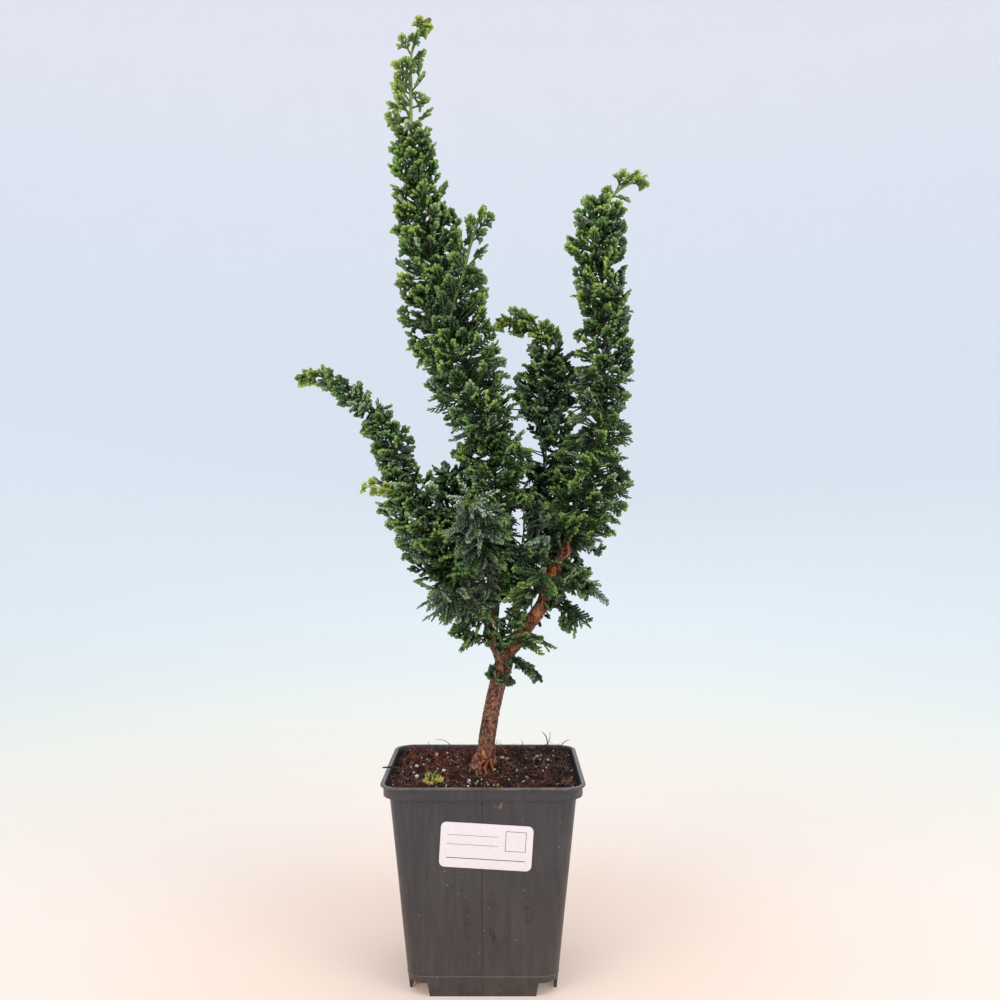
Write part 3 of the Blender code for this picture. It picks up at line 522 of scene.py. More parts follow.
def sticker_paper():
    """Coated paper, pinkish white and satin, printed with thin grey rules and one empty box."""
    add, finish = new_material("sticker paper", 0.38)
    place = add("TexCoord", out="Object")
    centred = add("Mapping", place, Location=(-LABEL_X * MM, 0, -LABEL_Z * MM))
    level = add("Mapping", centred, Rotation=(0, LABEL_TILT, 0), Scale=(1000, 1000, 1000))
    axes = [add("SeparateXYZ", level, out=axis) for axis in "XZ"]
    masks = []
    for x, z, half_x, half_z in RULES + BOX:
        away = (add("Math ABSOLUTE", add("Math SUBTRACT", *pair)) for pair in zip(axes, (x, z)))
        inside = [add("Math LESS_THAN", *pair) for pair in zip(away, (half_x, half_z))]
        masks.append(add("Math MULTIPLY", *inside))
    ink = add("Math SUBTRACT", *masks[-2:])
    for mask in masks[:-2]:
        ink = add("Math MAXIMUM", ink, mask)
    grain = add("TexNoise", place, Scale=900, Detail=3)
    paper = add("ValToRGB", grain, stops=((0.3, "#e6dcde"), (0.7, "#eee5e7")))
    return finish(Base_Color=add("Mix", ink, paper, "#4a4648"),
                  Normal=add("Bump", Strength=0.05, Distance=0.0001, Height=grain))


label = mesh_piece("sticker", *label_sheet(), sticker_paper())
label.data.set_sharp_from_angle(angle=math.radians(50))
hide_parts("label")
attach(label, "root")


# The soil: damp peat and composted bark. The CAD filling stays, and its top gets a finer surface of the
# same mound, rough with clods and hollows, on which crumbs and bark chips lie loose.
SOIL_EDGE = 110.6
SOIL_MOUND = 2.4
SOIL_ROUGHNESS = 0.8
SOIL_LUMPS = ((0.31, 0.27), (0.17, -0.23))
SOIL_HALF = COLLAR_HALF + COLLAR_PROUD - COLLAR_WALL - 0.35
SOIL_COVER = 0.25
SOIL_RINGS = 84
SMALL_CRUMBS = 3000
LARGE_CRUMBS = 900
BARK_CHIPS = 420
TRUNK_CLEAR = 6.5
HIGH_PLACE = (22.0, 34.0)
BARE_FOOT = (-1.0, -13.0)


def soil_height(x, y):
    """The CAD filling's top: a parabolic mound and two crossed waves that fade out at the pot's wall."""
    reach = np.maximum(np.abs(x), np.abs(y)) / COLLAR_HALF
    (across, along), (slant_x, slant_y) = SOIL_LUMPS
    waves = np.sin(across * x) * np.cos(along * y) + np.sin(slant_x * x + slant_y * y)
    return SOIL_EDGE + SOIL_MOUND * (1 - reach * reach) + SOIL_ROUGHNESS * waves * (1 - reach ** 4)


def rough_soil(x, y):
    """The filling's top raised by clods of 11, 4.5, 2 and 1.1 mm, higher at the back right.

    In front of the trunk, where its roots lie bare, it is nearly smooth.
    """
    plan = np.stack((x, y, np.zeros_like(x)), axis=-1).reshape(-1, 3)
    clods = 2.4 * np.abs(lumps(plan, 11.0, 21)) ** 1.3 + 2.2 * np.abs(lumps(plan, 4.5, 22)) ** 1.2
    clods += 0.9 * np.abs(lumps(plan, 2.0, 24)) + 0.35 * lumps(plan, 1.1, 23)
    rise = 1.6 * np.exp(-((x - HIGH_PLACE[0]) ** 2 + (y - HIGH_PLACE[1]) ** 2) / 320.0)
    wall = 1 - np.clip(np.maximum(np.abs(x), np.abs(y)) / SOIL_HALF, 0, 1) ** 14
    foot = 1 - 0.85 * np.exp(-((x - BARE_FOOT[0]) ** 2 + (y - BARE_FOOT[1]) ** 2) / 90.0)
    return soil_height(x, y) + SOIL_COVER + (clods.reshape(np.shape(x)) * foot + rise) * wall


def soil_surface():
    """Rounded-square rings shrinking to the middle, each point at the rough soil's height."""
    plan = square_ring(SOIL_HALF, CORNER_RADIUS)
    plan = np.concatenate([plan, 0.5 * (plan + np.roll(plan, -1, axis=0))], axis=1).reshape(-1, 2)
    shares = np.linspace(1.0, 0.004, SOIL_RINGS)[:, None]
    x, y = shares * plan[:, 0], shares * plan[:, 1]
    z = rough_soil(x, y)
    z[0] = SOIL_EDGE - 1.0
    return np.stack((x, y, z), axis=-1).reshape(-1, 3), grid_faces(SOIL_RINGS, len(plan), closed=True)


def damp_peat(name, dark, middle, light, seed):
    """Fibrous peat and bark: dark red-brown, darker where it is damp, and painted near black in its hollows
    as shade.
    """
    add, finish = new_material(name, 0.75, 0.28)
    place = add("Mapping", add("TexCoord", out="Object"), Location=(seed, 0, 0))
    noise = add("TexNoise", place, Scale=300, Detail=8, Roughness=0.65)
    share = add("Mix", 0.6, add("TexVoronoi", place, Scale=700, out="Color"), noise)
    # Painted shade: the noise that gives the bump its height mostly sets the colour, near black in the low
    # places.
    colour = add("ValToRGB", share, stops=((0.30, dark), (0.52, middle), (0.75, light)))
    wet = add("MapRange", add("TexNoise", place, Scale=85, Detail=2), 0.62, 0.42, 0, 0.85)
    return finish(Base_Color=add("Mix", wet, colour, dark),
                  Normal=add("Bump", Strength=1, Distance=0.0006, Height=noise))


peat = damp_peat("damp peat", "#0f0604", "#30140b", "#703a22", 0.0)
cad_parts["soil"].data.materials[0] = peat
surface = mesh_piece("soil_surface", *soil_surface(), peat)
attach(surface, "root")


def soil_places(count, seed, margin=1.5):
    """Random places on the soil inside the pot's wall, clear of the trunk."""
    pick = np.random.default_rng(seed)
    x, y = pick.uniform(-SOIL_HALF + margin, SOIL_HALF - margin, (2, 2 * count))
    corner = np.hypot(*np.maximum(np.abs((x, y)) - (SOIL_HALF - CORNER_RADIUS), 0))
    keep = (np.hypot(x - 1, y) > TRUNK_CLEAR) & (corner < CORNER_RADIUS - margin)
    return x[keep][:count], y[keep][:count]


def body_of_20():
    """The corners and triangles of a regular body of 20 sides, from three golden rectangles."""
    g = (1 + 5 ** 0.5) / 2
    corners = [(-1, g, 0), (1, g, 0), (-1, -g, 0), (1, -g, 0), (0, -1, g), (0, 1, g), (0, -1, -g), (0, 1, -g),
               (g, 0, -1), (g, 0, 1), (-g, 0, -1), (-g, 0, 1)]
    faces = [(0, 11, 5), (0, 5, 1), (0, 1, 7), (0, 7, 10), (0, 10, 11), (1, 5, 9), (5, 11, 4), (11, 10, 2),
             (10, 7, 6), (7, 1, 8), (3, 9, 4), (3, 4, 2), (3, 2, 6), (3, 6, 8), (3, 8, 9), (4, 9, 5),
             (2, 4, 11), (6, 2, 10), (8, 6, 7), (9, 8, 1)]
    return np.array(corners) / math.hypot(1, g), np.array(faces)


def body_of_8():
    """The corners and triangles of a regular body of 8 sides."""
    corners = [(1, 0, 0), (-1, 0, 0), (0, 1, 0), (0, -1, 0), (0, 0, 1), (0, 0, -1)]
    faces = [(0, 2, 4), (2, 1, 4), (1, 3, 4), (3, 0, 4), (2, 0, 5), (1, 2, 5), (3, 1, 5), (0, 3, 5)]
    return np.array(corners, float), np.array(faces)


def turned(vectors, axis, angle):
    """Vectors turned about unit axes by angles: v cos a + (k x v) sin a + k (k.v)(1 - cos a)."""
    c, s = np.cos(angle)[..., None], np.sin(angle)[..., None]
    along = np.sum(vectors * axis, axis=-1, keepdims=True)
    return vectors * c + np.cross(axis, vectors) * s + axis * along * (1 - c)


def repeated(faces, size, count):
    """The faces of one body of so many points, repeated for a count of such bodies."""
    return (faces[None] + (size * np.arange(count))[:, None, None]).reshape(-1, faces.shape[1])


def lump_cloud(body, x, y, z, sizes, squash, seed):
    """Many angular lumps: the body, stretched, dented and turned at random, at each place."""
    pick = np.random.default_rng(seed)
    corners, faces = body
    count = len(x)
    shape = corners[None] * (1 + pick.uniform(-0.28, 0.28, (count, len(corners), 1)))
    shape = shape * pick.uniform(squash, 1.0, (count, 1, 3)) * sizes[:, None, None]
    axis = unit(pick.normal(size=(count, 1, 3)))
    shape = turned(shape, axis, pick.uniform(0, 2 * math.pi, (count, 1)))
    shape += np.stack((x, y, z), axis=-1)[:, None]
    return shape.reshape(-1, 3), repeated(faces, len(corners), count)


def crumb_cloud(body, count, seed, smallest, largest, squash, sink):
    """Crumbs on the soil, many small and few large, sunk into it by a share of their size."""
    x, y = soil_places(count, seed)
    sizes = smallest + (largest - smallest) * np.random.default_rng(seed).random(len(x)) ** 2.5
    return lump_cloud(body, x, y, rough_soil(x, y) + sizes * (0.5 - sink), sizes, squash, seed)


old_bark = damp_peat("composted bark", "#281009", "#5c2a18", "#935332", 3.0)
for name, shape, material in (
    ("small_crumbs", crumb_cloud(body_of_8(), SMALL_CRUMBS, 31, 0.4, 1.1, 0.45, 0.4), peat),
    ("large_crumbs", crumb_cloud(body_of_20(), LARGE_CRUMBS, 32, 0.8, 2.3, 0.5, 0.45), peat),
    ("bark_chips", crumb_cloud(body_of_20(), BARK_CHIPS, 33, 0.7, 2.4, 0.22, 0.2), old_bark),
):
    crumbs = mesh_piece(name, *shape, material, smooth=False)
    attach(crumbs, "root")


# The fibres: dead fine roots and moss strands curl all over the soil, dry ones tan, damp ones dark red. Stiff
# ones stand over the back rim, a dead twig lies over the left one, red roots hang out of a drain hole into
# the foot's open corner, and thin live ones come down from the trunk's foot.
DARK_FIBRES = 800
TAN_FIBRES = 650
RED_FIBRES = 450
FIBRE_RISE = 0.9
FOOT_ROOTS = (
    ((-24, -24, 8.8, 0.5), (-28, -29, 6.6, 0.5), (-33, -34, 6.6, 0.45), (-36.5, -37, 5.2, 0.3)),
    ((-25, -23, 8.8, 0.45), (-30, -28, 7.0, 0.45), (-35, -36, 6.6, 0.4), (-37.5, -36, 3.6, 0.25)),
    ((-23, -25, 8.8, 0.4), (-29, -32, 5.6, 0.4), (-34, -37, 6.0, 0.35), (-35, -38, 3.0, 0.2)),
)
TRUNK_ROOTS = (
    ((-3.2, -4, 117.5, 1.4), (-2.4, -9, 115.4, 1.1), (-1.8, -14, 114.0, 1.0), (-1.2, -19, 112, 0.8)),
    ((3.0, -2, 119.5, 1.5), (2.3, -4.5, 118.2, 0.9), (0.6, -8, 115.8, 0.9), (1.6, -13, 113.4, 0.8),
     (3.4, -17, 112.0, 0.6)),
    ((3.5, -3, 119.5, 1.2), (4.2, -6, 117.4, 0.55), (5.4, -10, 113.5, 0.45)),
    ((-6.5, -4, 116.5, 0.8), (-8.6, -7, 115.6, 0.5), (-9.6, -10, 113.4, 0.4)),
)
RIM_TWIGS = (
    ((37.5, 43, 112, 0.45), (38, 43, 118, 0.35), (37, 43, 123, 0.28), (34.5, 43, 125.5, 0.15)),
    ((38, 43, 117.5, 0.25), (39.5, 43, 121.5, 0.2), (39.5, 43, 125.5, 0.12)),
    ((44, 42, 112, 0.4), (46, 42, 117, 0.3), (49, 42, 120, 0.22), (51.5, 42, 121, 0.12)),
    ((-19, 44, 113, 0.3), (-21, 44, 117, 0.22), (-25, 44, 120, 0.18), (-30, 44, 120.5, 0.1)),
    ((-33, 43, 112, 0.3), (-33.5, 43, 116, 0.2), (-34.8, 43, 119.5, 0.1)),
    ((7, 43, 112, 0.25), (6.4, 43, 117, 0.18), (7.5, 43, 120.5, 0.08)),
    ((22, 43, 112, 0.25), (22.8, 43, 118, 0.18), (22.2, 43, 121, 0.08)),
    ((-56.8, -13.5, 116.7, 0.4), (-53, -13.4, 117.0, 0.55), (-48, -13.2, 116.4, 0.5),
     (-44.5, -13, 115, 0.35)),
)


def ring_round(first, second, sides):
    """Directions round a circle: first cos a + second sin a."""
    turn = circle(sides)[:, None]
    return first[..., None, :] * np.cos(turn) + second[..., None, :] * np.sin(turn)


def tube_faces(rings, sides, count, pointed=False):
    """The triangles of many tubes: their sides, a fan over the foot, and a fan or one point over the end."""
    sheet = grid_faces(rings, sides, closed=True)
    last = (rings - 1) * sides
    foot = [(0, j + 1, j) for j in range(1, sides - 1)]
    end = [(last, last + j, last + j + 1) for j in range(1, sides - 1)]
    if pointed:
        end = [(last + j, last + (j + 1) % sides, last + sides) for j in range(sides)]
    one = np.concatenate((sheet[:, :3], sheet[:, [0, 2, 3]], foot, end))
    return repeated(one, rings * sides + pointed, count)


def hair_cloud(roots, ahead, lengths, radii, bend, steps, pick):
    """Many fine hairs: each starts at its root, turns steadily about a random axis, and tapers away."""
    ahead = unit(ahead)
    axis = unit(np.cross(ahead, pick.normal(size=ahead.shape)))
    share = np.linspace(0, 1, steps)
    direction = turned(ahead[:, None], axis[:, None], bend[:, None] * share)
    path = np.cumsum(direction, axis=1) * (lengths / steps)[:, None, None] + roots[:, None]
    ring = ring_round(axis[:, None], unit(np.cross(direction, axis[:, None])), 3)
    points = path[:, :, None] + (radii[:, None] * (1.0 - 0.75 * share))[..., None, None] * ring
    return points.reshape(-1, 3), tube_faces(steps, 3, len(roots))


def soil_fibres(count, seed, radius, middle=(0.0, 0.0), spread=1.0):
    """Hairs scattered over the soil, drawn to a middle by the spread, most lying, a few standing up."""
    pick = np.random.default_rng(seed)
    x, y = soil_places(count, seed, 3.0)
    x, y = middle[0] + spread * (x - middle[0]), middle[1] + spread * (y - middle[1])
    count = len(x)
    heading = pick.uniform(0, 2 * math.pi, count)
    roots = np.stack((x, y, rough_soil(x, y) + 0.2), axis=-1)
    ahead = np.stack((np.cos(heading), np.sin(heading), pick.uniform(0.0, FIBRE_RISE, count) ** 2), axis=-1)
    radii = radius * pick.uniform(0.6, 1.3, count)
    lengths = pick.uniform(2.5, 8.0, count)
    return hair_cloud(roots, ahead, lengths, radii, pick.uniform(0.4, 3.0, count), 5, pick)


def dry_fibre(name, dark, light, roughness=0.7):
    """Dry root or moss strand: one hue that varies along and between the hairs, with a fine grain."""
    add, finish = new_material(name, roughness, 0.35)
    place = add("TexCoord", out="Object")
    noise = add("TexNoise", place, Scale=240, Detail=3)
    bump = add("Bump", Strength=0.3, Distance=0.0001, Height=add("TexNoise", place, Scale=2600))
    return finish(Base_Color=add("ValToRGB", noise, stops=((0.35, dark), (0.65, light))), Normal=bump)


def smooth_path(points, step):
    """Points at about equal steps on a cubic curve through the given ones, with their fourth values."""
    given = np.asarray(points, float)
    along = np.concatenate(([0.0], np.cumsum(np.linalg.norm(np.diff(given[:, :3], axis=0), axis=1))))
    slope = np.gradient(given, along, axis=0)
    places = np.linspace(0.0, along[-1], max(3, int(round(along[-1] / step)) + 1))
    k = np.clip(np.searchsorted(along, places, side="right") - 1, 0, len(along) - 2)
    width = along[k + 1] - along[k]
    t = (places - along[k]) / width
    start = (2 * t ** 3 - 3 * t ** 2 + 1)[:, None] * given[k]
    end = (3 * t ** 2 - 2 * t ** 3)[:, None] * given[k + 1]
    leave = ((t ** 3 - 2 * t ** 2 + t) * width)[:, None] * slope[k]
    arrive = ((t ** 3 - t ** 2) * width)[:, None] * slope[k + 1]
    return start + end + leave + arrive, places


def path_frames(path):
    """The direction along a path, and two directions across it, at each of its points."""
    ahead = unit(np.gradient(path[:, :3], axis=0))
    side = unit(np.cross(ahead, (0.0, 1.0, 0.15)))
    return ahead, side, np.cross(ahead, side)


def tube(path, sides):
    """A closed tube round a path of (x, y, z, radius): centre + radius (side cos a + other sin a)."""
    return capped(path[:, None, :3] + path[:, 3, None, None] * ring_round(*path_frames(path)[1:], sides))


def joined(shapes):
    """Several (points, faces) as one."""
    points, faces, first = [], [], 0
    for some_points, some_faces in shapes:
        points.append(some_points)
        faces += [[first + i for i in face] for face in some_faces]
        first += len(some_points)
    return np.concatenate(points), faces


def tubes(runs, step, sides):
    """Tubes round smooth paths through the points of each run, as one."""
    return joined([tube(smooth_path(run, step)[0], sides) for run in runs])


for name, shape, what in (
    ("dark_fibres", soil_fibres(DARK_FIBRES, 41, 0.16), ("dead root", "#30130c", "#7a4026")),
    ("tan_fibres", soil_fibres(TAN_FIBRES, 42, 0.12), ("dry moss strand", "#80583c", "#cba57c")),
    ("red_fibres", soil_fibres(RED_FIBRES, 43, 0.15, (-42, 42), 0.6), ("red root", "#6e2716", "#b8532f")),
    ("foot_roots", tubes(FOOT_ROOTS, 1.5, 6), ("fresh root", "#8a3f2c", "#c9705a")),
    ("trunk_roots", tubes(TRUNK_ROOTS, 1.0, 8), ("live root", "#5f2618", "#b0603a", 0.5)),
    ("rim_twigs", tubes(RIM_TWIGS, 1.5, 6), ("dead twig", "#241a15", "#4f3a2d")),
):
    fibres = mesh_piece(name, *shape, dry_fibre(*what))
    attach(fibres, "root")


# The perlite and the odd bits: puffed white grains as the mix has them, larger ones where they show best,
# a pinkish lump, an orange bark curl and tan crumbs. All lie loose on the soil.
PERLITE_PLACES = (
    (-28.4, 26.6), (-22.7, 32.0), (-33.8, 17.9), (-34.6, 3.1), (-38.3, -2.0), (-39.2, -12.7), (-36.3, -27.8),
    (-21.8, -22.7), (-7.7, -37.0), (-47.4, 33.6), (10.3, 17.9), (37.3, 17.0), (5.7, -7.9), (22.2, -29.7),
)
PINK_LUMPS = ((31.5, 21.1), (33.0, 22.6), (30.0, 20.2))
TAN_BITS = ((12.5, 10.4), (13.5, 10.8), (27.0, -36.2), (18.5, -18.8), (-4.0, -40.0), (8.0, -38.0))


def placed_grains(places, scatter, seed, smallest, largest):
    """Grains at the given places, then a scatter of grains of half that size."""
    pick = np.random.default_rng(seed)
    x, y = soil_places(scatter, seed)
    sizes = pick.uniform(smallest, largest, len(places) + len(x))
    sizes[len(places):] *= 0.5
    given = np.array(places)
    x, y = np.concatenate((given[:, 0], x)), np.concatenate((given[:, 1], y))
    return lump_cloud(body_of_20(), x, y, rough_soil(x, y) + 0.4 * sizes, sizes, 0.6, seed)


def puffed_mineral(name, dark, light):
    """A dull porous mineral grain, stained in its pits."""
    add, finish = new_material(name, 0.85, 0.3)
    noise = add("TexNoise", add("TexCoord", out="Object"), Scale=900, Detail=4)
    return finish(Base_Color=add("ValToRGB", noise, stops=((0.35, dark), (0.6, light))),
                  Normal=add("Bump", Strength=0.5, Distance=0.0002, Height=noise))


for name, shape, colours in (
    ("perlite", placed_grains(PERLITE_PLACES, 90, 51, 0.95, 1.6), ("#bfa898", "#efe4dc")),
    ("pink_lumps", placed_grains(PINK_LUMPS, 6, 54, 1.3, 1.9), ("#8f6a60", "#cfaaa2")),
    ("tan_bits", placed_grains(TAN_BITS, 90, 55, 0.9, 1.4), ("#8a5a34", "#d3ad72")),
):
    grains = mesh_piece(name, *shape, puffed_mineral(name.replace("_", " "), *colours), smooth=False)
    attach(grains, "root")


# The moss: a scrap of moss and seedling leaves at the front left of the soil, soft and low, green and
# going yellow toward the rim, and two single green blades near the trunk.
MOSS_BLADES = 150
RIM_BLADES = 24


def moss_patch():
    """Short broad blades that rise from one patch, each a stout tapering hair."""
    pick = np.random.default_rng(61)
    x = pick.uniform(-31.3, -24.0, MOSS_BLADES)
    y = -31.0 + 9.0 * pick.uniform(-1, 1, MOSS_BLADES) * np.cos((x + 27.6) / 3.4)
    x[:RIM_BLADES] = pick.uniform(-24.0, -21.3, RIM_BLADES)
    y[:RIM_BLADES] = pick.uniform(-42.0, -37.5, RIM_BLADES)
    x[-2:], y[-2:] = (-8.0, -3.9), (-18.6, -27.8)
    roots = np.stack((x, y, rough_soil(x, y)), axis=-1)
    ahead = np.column_stack((pick.normal(0, 0.6, (MOSS_BLADES, 2)), np.ones(MOSS_BLADES)))
    ahead[-2:] = (0.15, 0, 1)
    spans = ((1.2, 3.2), (0.3, 0.6), (0.2, 1.4))
    lengths, radii, curl = (pick.uniform(*span, MOSS_BLADES) for span in spans)
    lengths[-2:], radii[-2:], curl[-2:] = (5.6, 4.6), 0.3, 0.15
    return hair_cloud(roots, ahead, lengths, radii, curl, 5, pick)


def live_moss():
    """Soft moss: grass green at the back of its patch, pale yellow toward the rim."""
    add, finish = new_material("moss", 0.6, 0.3)
    place = add("TexCoord", out="Object")
    shift = add("MapRange", add("TexNoise", place, Scale=400, Detail=3), 0.3, 0.7, -0.35, 0.35)
    back = add("MapRange", add("SeparateXYZ", place, out="Y"), -0.040, -0.024)
    return finish(Base_Color=add("ValToRGB", add("Math ADD", back, shift), stops=(
        (0.0, "#d9c25e"), (0.35, "#cfd06a"), (0.75, "#8fae4c"), (1.0, "#7c9c4c"))))


moss = mesh_piece("moss_patch", *moss_patch(), live_moss())
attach(moss, "root")


# The wood: one grown trunk of thin, peeling red-brown bark with orange where it has just flaked. Its runs
# repeat the CAD's and go on inside the foliage as the limbs do; its roots spread forward over the soil.
WOOD_RUNS = (
    ((1, 2, 86, 4.0), (1, 2, 104, 4.6), (1, 1.8, 112, 4.7), (1.4, 0.5, 119, 5.2), (1.5, 0, 128, 4.9),
     (3.5, 0, 142, 4.8), (6, 0, 154, 4.8), (8, 0, 162, 4.9), (11, 0, 172, 5.3), (13, 0, 179, 4.6)),
    ((10, 0, 170, 4.2), (13, 0, 178, 4.4), (18, 0, 185, 4.3), (26, -1, 197, 4.2), (33, -1, 206, 4.0),
     (36, 0, 215, 3.9), (40, 2, 226, 3.7), (45, 4, 234, 3.5), (49, 5, 243, 3.2), (53, 5, 254, 2.8)),
    ((11, 0, 172, 3.8), (8, 0, 180, 3.6), (5, 0, 188, 3.5), (5, 0, 198, 3.4), (6, 0, 208, 3.1),
     (6, -1, 220, 2.9), (6, -2, 232, 2.5)),
    ((5, 0, 197, 2.7), (-3, -4, 207, 2.7), (-10, -6, 218, 2.5), (-17, -8, 229, 2.2)),
    ((34, 0, 209, 2.8), (36, 5, 217, 2.8), (35, 11, 230, 2.5), (35, 15, 242, 2.2)),
)
ROOT_RUNS = (
    ((0, -1, 121, 4.4), (-3.6, -3, 118, 3.6), (-5.2, -6, 115.5, 2.8), (-5.6, -10, 114.4, 2.3),
     (-4.9, -15, 113.4, 1.8), (-3.9, -19.5, 111.4, 1.2)),
    ((4.0, -0.5, 119.5, 3.0), (5.6, -1.5, 115.5, 2.4), (7.2, -3.5, 110.5, 1.6)),
    ((4, 2, 115, 3.0), (8, 5, 111.5, 2.3), (12, 8, 107, 1.4)),
    ((-1, 2, 115, 3.0), (-5, 6, 111, 2.2), (-9, 9, 106, 1.3)),
)
BARK_VOXEL = 0.54
BARK_SUNK = 0.15
# Where bark has just flaked off, as (x, z, radius).
FLAKED_PLACES = (
    (1.7, 124.5, 4.5), (3.2, 113.5, 2.5), (9.0, 169.5, 4.0), (17.5, 168.5, 4.0), (14.0, 183.0, 4.0),
    (20.0, 189.0, 6.0), (29.0, 201.0, 7.0), (35.0, 214.0, 6.0), (40.0, 226.0, 6.0), (47.0, 239.0, 6.0),
    (6.0, 197.0, 6.0),
)


def wood_solid(material):
    """All runs as one skin: tubes joined by a fine remesh and softened."""
    paths = [smooth_path(run, 1.5)[0] - (0, 0, 0, BARK_SUNK) for run in WOOD_RUNS + ROOT_RUNS]
    solid = mesh_piece("trunk_wood", *joined([tube(path, 20) for path in paths]), material)
    modify(solid, "REMESH", mode="VOXEL", voxel_size=BARK_VOXEL * MM)
    modify(solid, "SMOOTH", factor=0.5, iterations=4)
    return solid


def raise_bark(solid):
    """Moves each point along its normal by the bark's relief: plates, flakes across them, knots and grain.

    Also marks where the bark is freshly flaked: lumps of noise, and the named places as exp(-(d/r)^2).
    """
    mesh = solid.data
    points, normals = np.empty((2, 3 * len(mesh.vertices)), np.float32)
    mesh.vertices.foreach_get("co", points)
    mesh.vertices.foreach_get("normal", normals)
    points = points.reshape(-1, 3) / MM
    plates = 1 - np.abs(lumps(points * (1.0, 1.0, 0.36), 2.3, 61))
    flakes = 1 - np.abs(lumps(points * (1.0, 1.0, 1.4), 1.9, 62))
    knots = np.clip(lumps(points, 5.5, 64) - 0.35, 0, 1)
    relief = 0.50 * (plates - 0.6) + 0.40 * (flakes - 0.6) + 0.14 * lumps(points, 0.8, 63) + 1.1 * knots
    points += normals.reshape(-1, 3) * relief[:, None]
    mesh.vertices.foreach_set("co", (points * MM).astype(np.float32).ravel())
    mesh.update()
    fresh = 0.8 * lumps(points, 6.5, 65) + 0.5 * lumps(points, 2.2, 66) - 0.30
    for x, z, radius in FLAKED_PLACES:
        fresh += 0.75 * np.exp(-((points[:, 0] - x) ** 2 + (points[:, 2] - z) ** 2) / radius ** 2)
    add_layers(mesh, relief=np.clip(0.5 + relief, 0, 1), fresh_bark=np.clip(1.8 * fresh, 0, 1))
    mesh.polygons.foreach_set("use_smooth", [True] * len(mesh.polygons))


def peeling_bark():
    """Thin fibrous cypress bark: dull red-brown plates, dark cracks, orange under fresh flakes."""
    add, finish = new_material("peeling bark", 0.7, 0.3)
    relief, fresh = (add("Attribute", out="Fac", attribute_name=name) for name in ("relief", "fresh_bark"))
    place = add("TexCoord", out="Object")
    grain = add("TexNoise", add("Mapping", place, Scale=(1, 1, 0.3)), Scale=900, Detail=5)
    flat = add("Mapping", place, Scale=(820, 820, 560))
    flake, tones = (add("TexVoronoi", flat, Scale=1, out=out) for out in ("Distance", "Color"))
    height = add("Math ADD", relief, add("MapRange", tones, 0, 1, -0.22, 0.22))
    height = add("Math SUBTRACT", height, add("MapRange", flake, 0.42, 0.82, 0, 0.6))
    old = add("ValToRGB", height, stops=((0.0, "#2a1610"), (0.42, "#7b4532"), (0.85, "#bb8368")))
    new = add("ValToRGB", height, stops=((0.0, "#47190c"), (0.42, "#b05428"), (0.85, "#e09a5a")))
    patch = add("MapRange", add("TexNoise", place, Scale=120, Detail=3), 0.52, 0.70, 0, 0.5)
    fleck = add("MapRange", add("TexNoise", place, Scale=1500, Detail=2), 0.58, 0.68, 0, 0.55)
    colour = add("Mix", fresh, old, new)
    colour = add("Mix", fleck, add("Mix", patch, colour, "#836553"), "#cda488")
    tint = add("ValToRGB", grain, stops=((0.3, "#a0a0a0"), (0.7, "#ffffff")))
    raised = add("Math SUBTRACT", grain, flake)
    return finish(Base_Color=add("Mix", 0.8, colour, tint, blend_type="MULTIPLY"),
                  Normal=add("Bump", Strength=0.9, Distance=0.0005, Height=raised))


wood = wood_solid(peeling_bark())
raise_bark(wood)
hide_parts("trunk")
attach(wood, "root")


# The foliage: dwarf hinoki shoots. Each leafy stem carries flat sprays of plump round-tipped branchlets,
# clad in scale leaves, which grow from its twigs: short crowded hands high up, feathery fronds low down.
# The stems' routes and reaches repeat the CAD's, so each piece stands in the node that it replaces.
GOLDEN_TURN = math.pi * (3 - 5 ** 0.5)
UPWARD = np.array((0.0, 0.0, 1.0))
# For each habit: the leafy surface for each spray in mm2, how flat the sprays lie to the stem's left and
# right, the share of fronds among its sprays, and how far they fill the stem's reach.
HABITS = {
    "crowded": (56.0, 0.0, 0.60, 0.91),
    "layered": (47.0, 0.0, 0.25, 0.91),
    "feathery": (54.0, 0.7, 0.95, 0.85),
    "open": (200.0, 0.8, 0.0, 1.0),
}
HAND_LONG = (9.0, 15.0)
FROND_LONG = (12.0, 19.0)
FRONDS_BELOW = (395.0, 335.0)
COVERED_SHARE = 0.44
HIDDEN_DEPTH = 0.58
# Leaves above this height get a painted light.
PAINTED_LIGHT_ABOVE = 330.0
FINGER_TURN_BACK = 0.4
LEAN = (42, 76)
OPEN_LONG = 14.0
DEAD_SHARES = {"trunk_sprig_middle": 0.30, "most": 0.004}
# The wood seen bare from the front, and the gaps seen through, as (x, z, radius) in the trunk's own plane.
BARE_WOOD = (
    (15.5, 180.5, 3.8), (26.5, 197.0, 5.0), (30.0, 202.6, 5.4), (32.6, 209.0, 4.0), (46.9, 238.1, 3.4),
    (6.0, 203.0, 2.4),
)
LIGHT_GAPS = (
    (10.2, 206.0, 2.8), (14.2, 206.2, 2.1), (10.8, 201.6, 2.6), (20.0, 259.0, 3.6), (20.0, 251.0, 4.6),
    (21.1, 243.0, 3.8), (40.5, 201.0, 3.4), (17.7, 317.6, 3.0), (21.0, 310.5, 3.2), (25.0, 304.0, 3.4),
    (28.5, 298.6, 3.8), (31.0, 292.0, 3.8), (34.5, 287.5, 2.4), (52.0, 345.0, 2.6), (50.3, 232.0, 1.8),
    (57.0, 236.5, 2.8), (59.0, 231.0, 3.0), (65.0, 230.5, 3.6), (69.5, 236.0, 3.0),
)
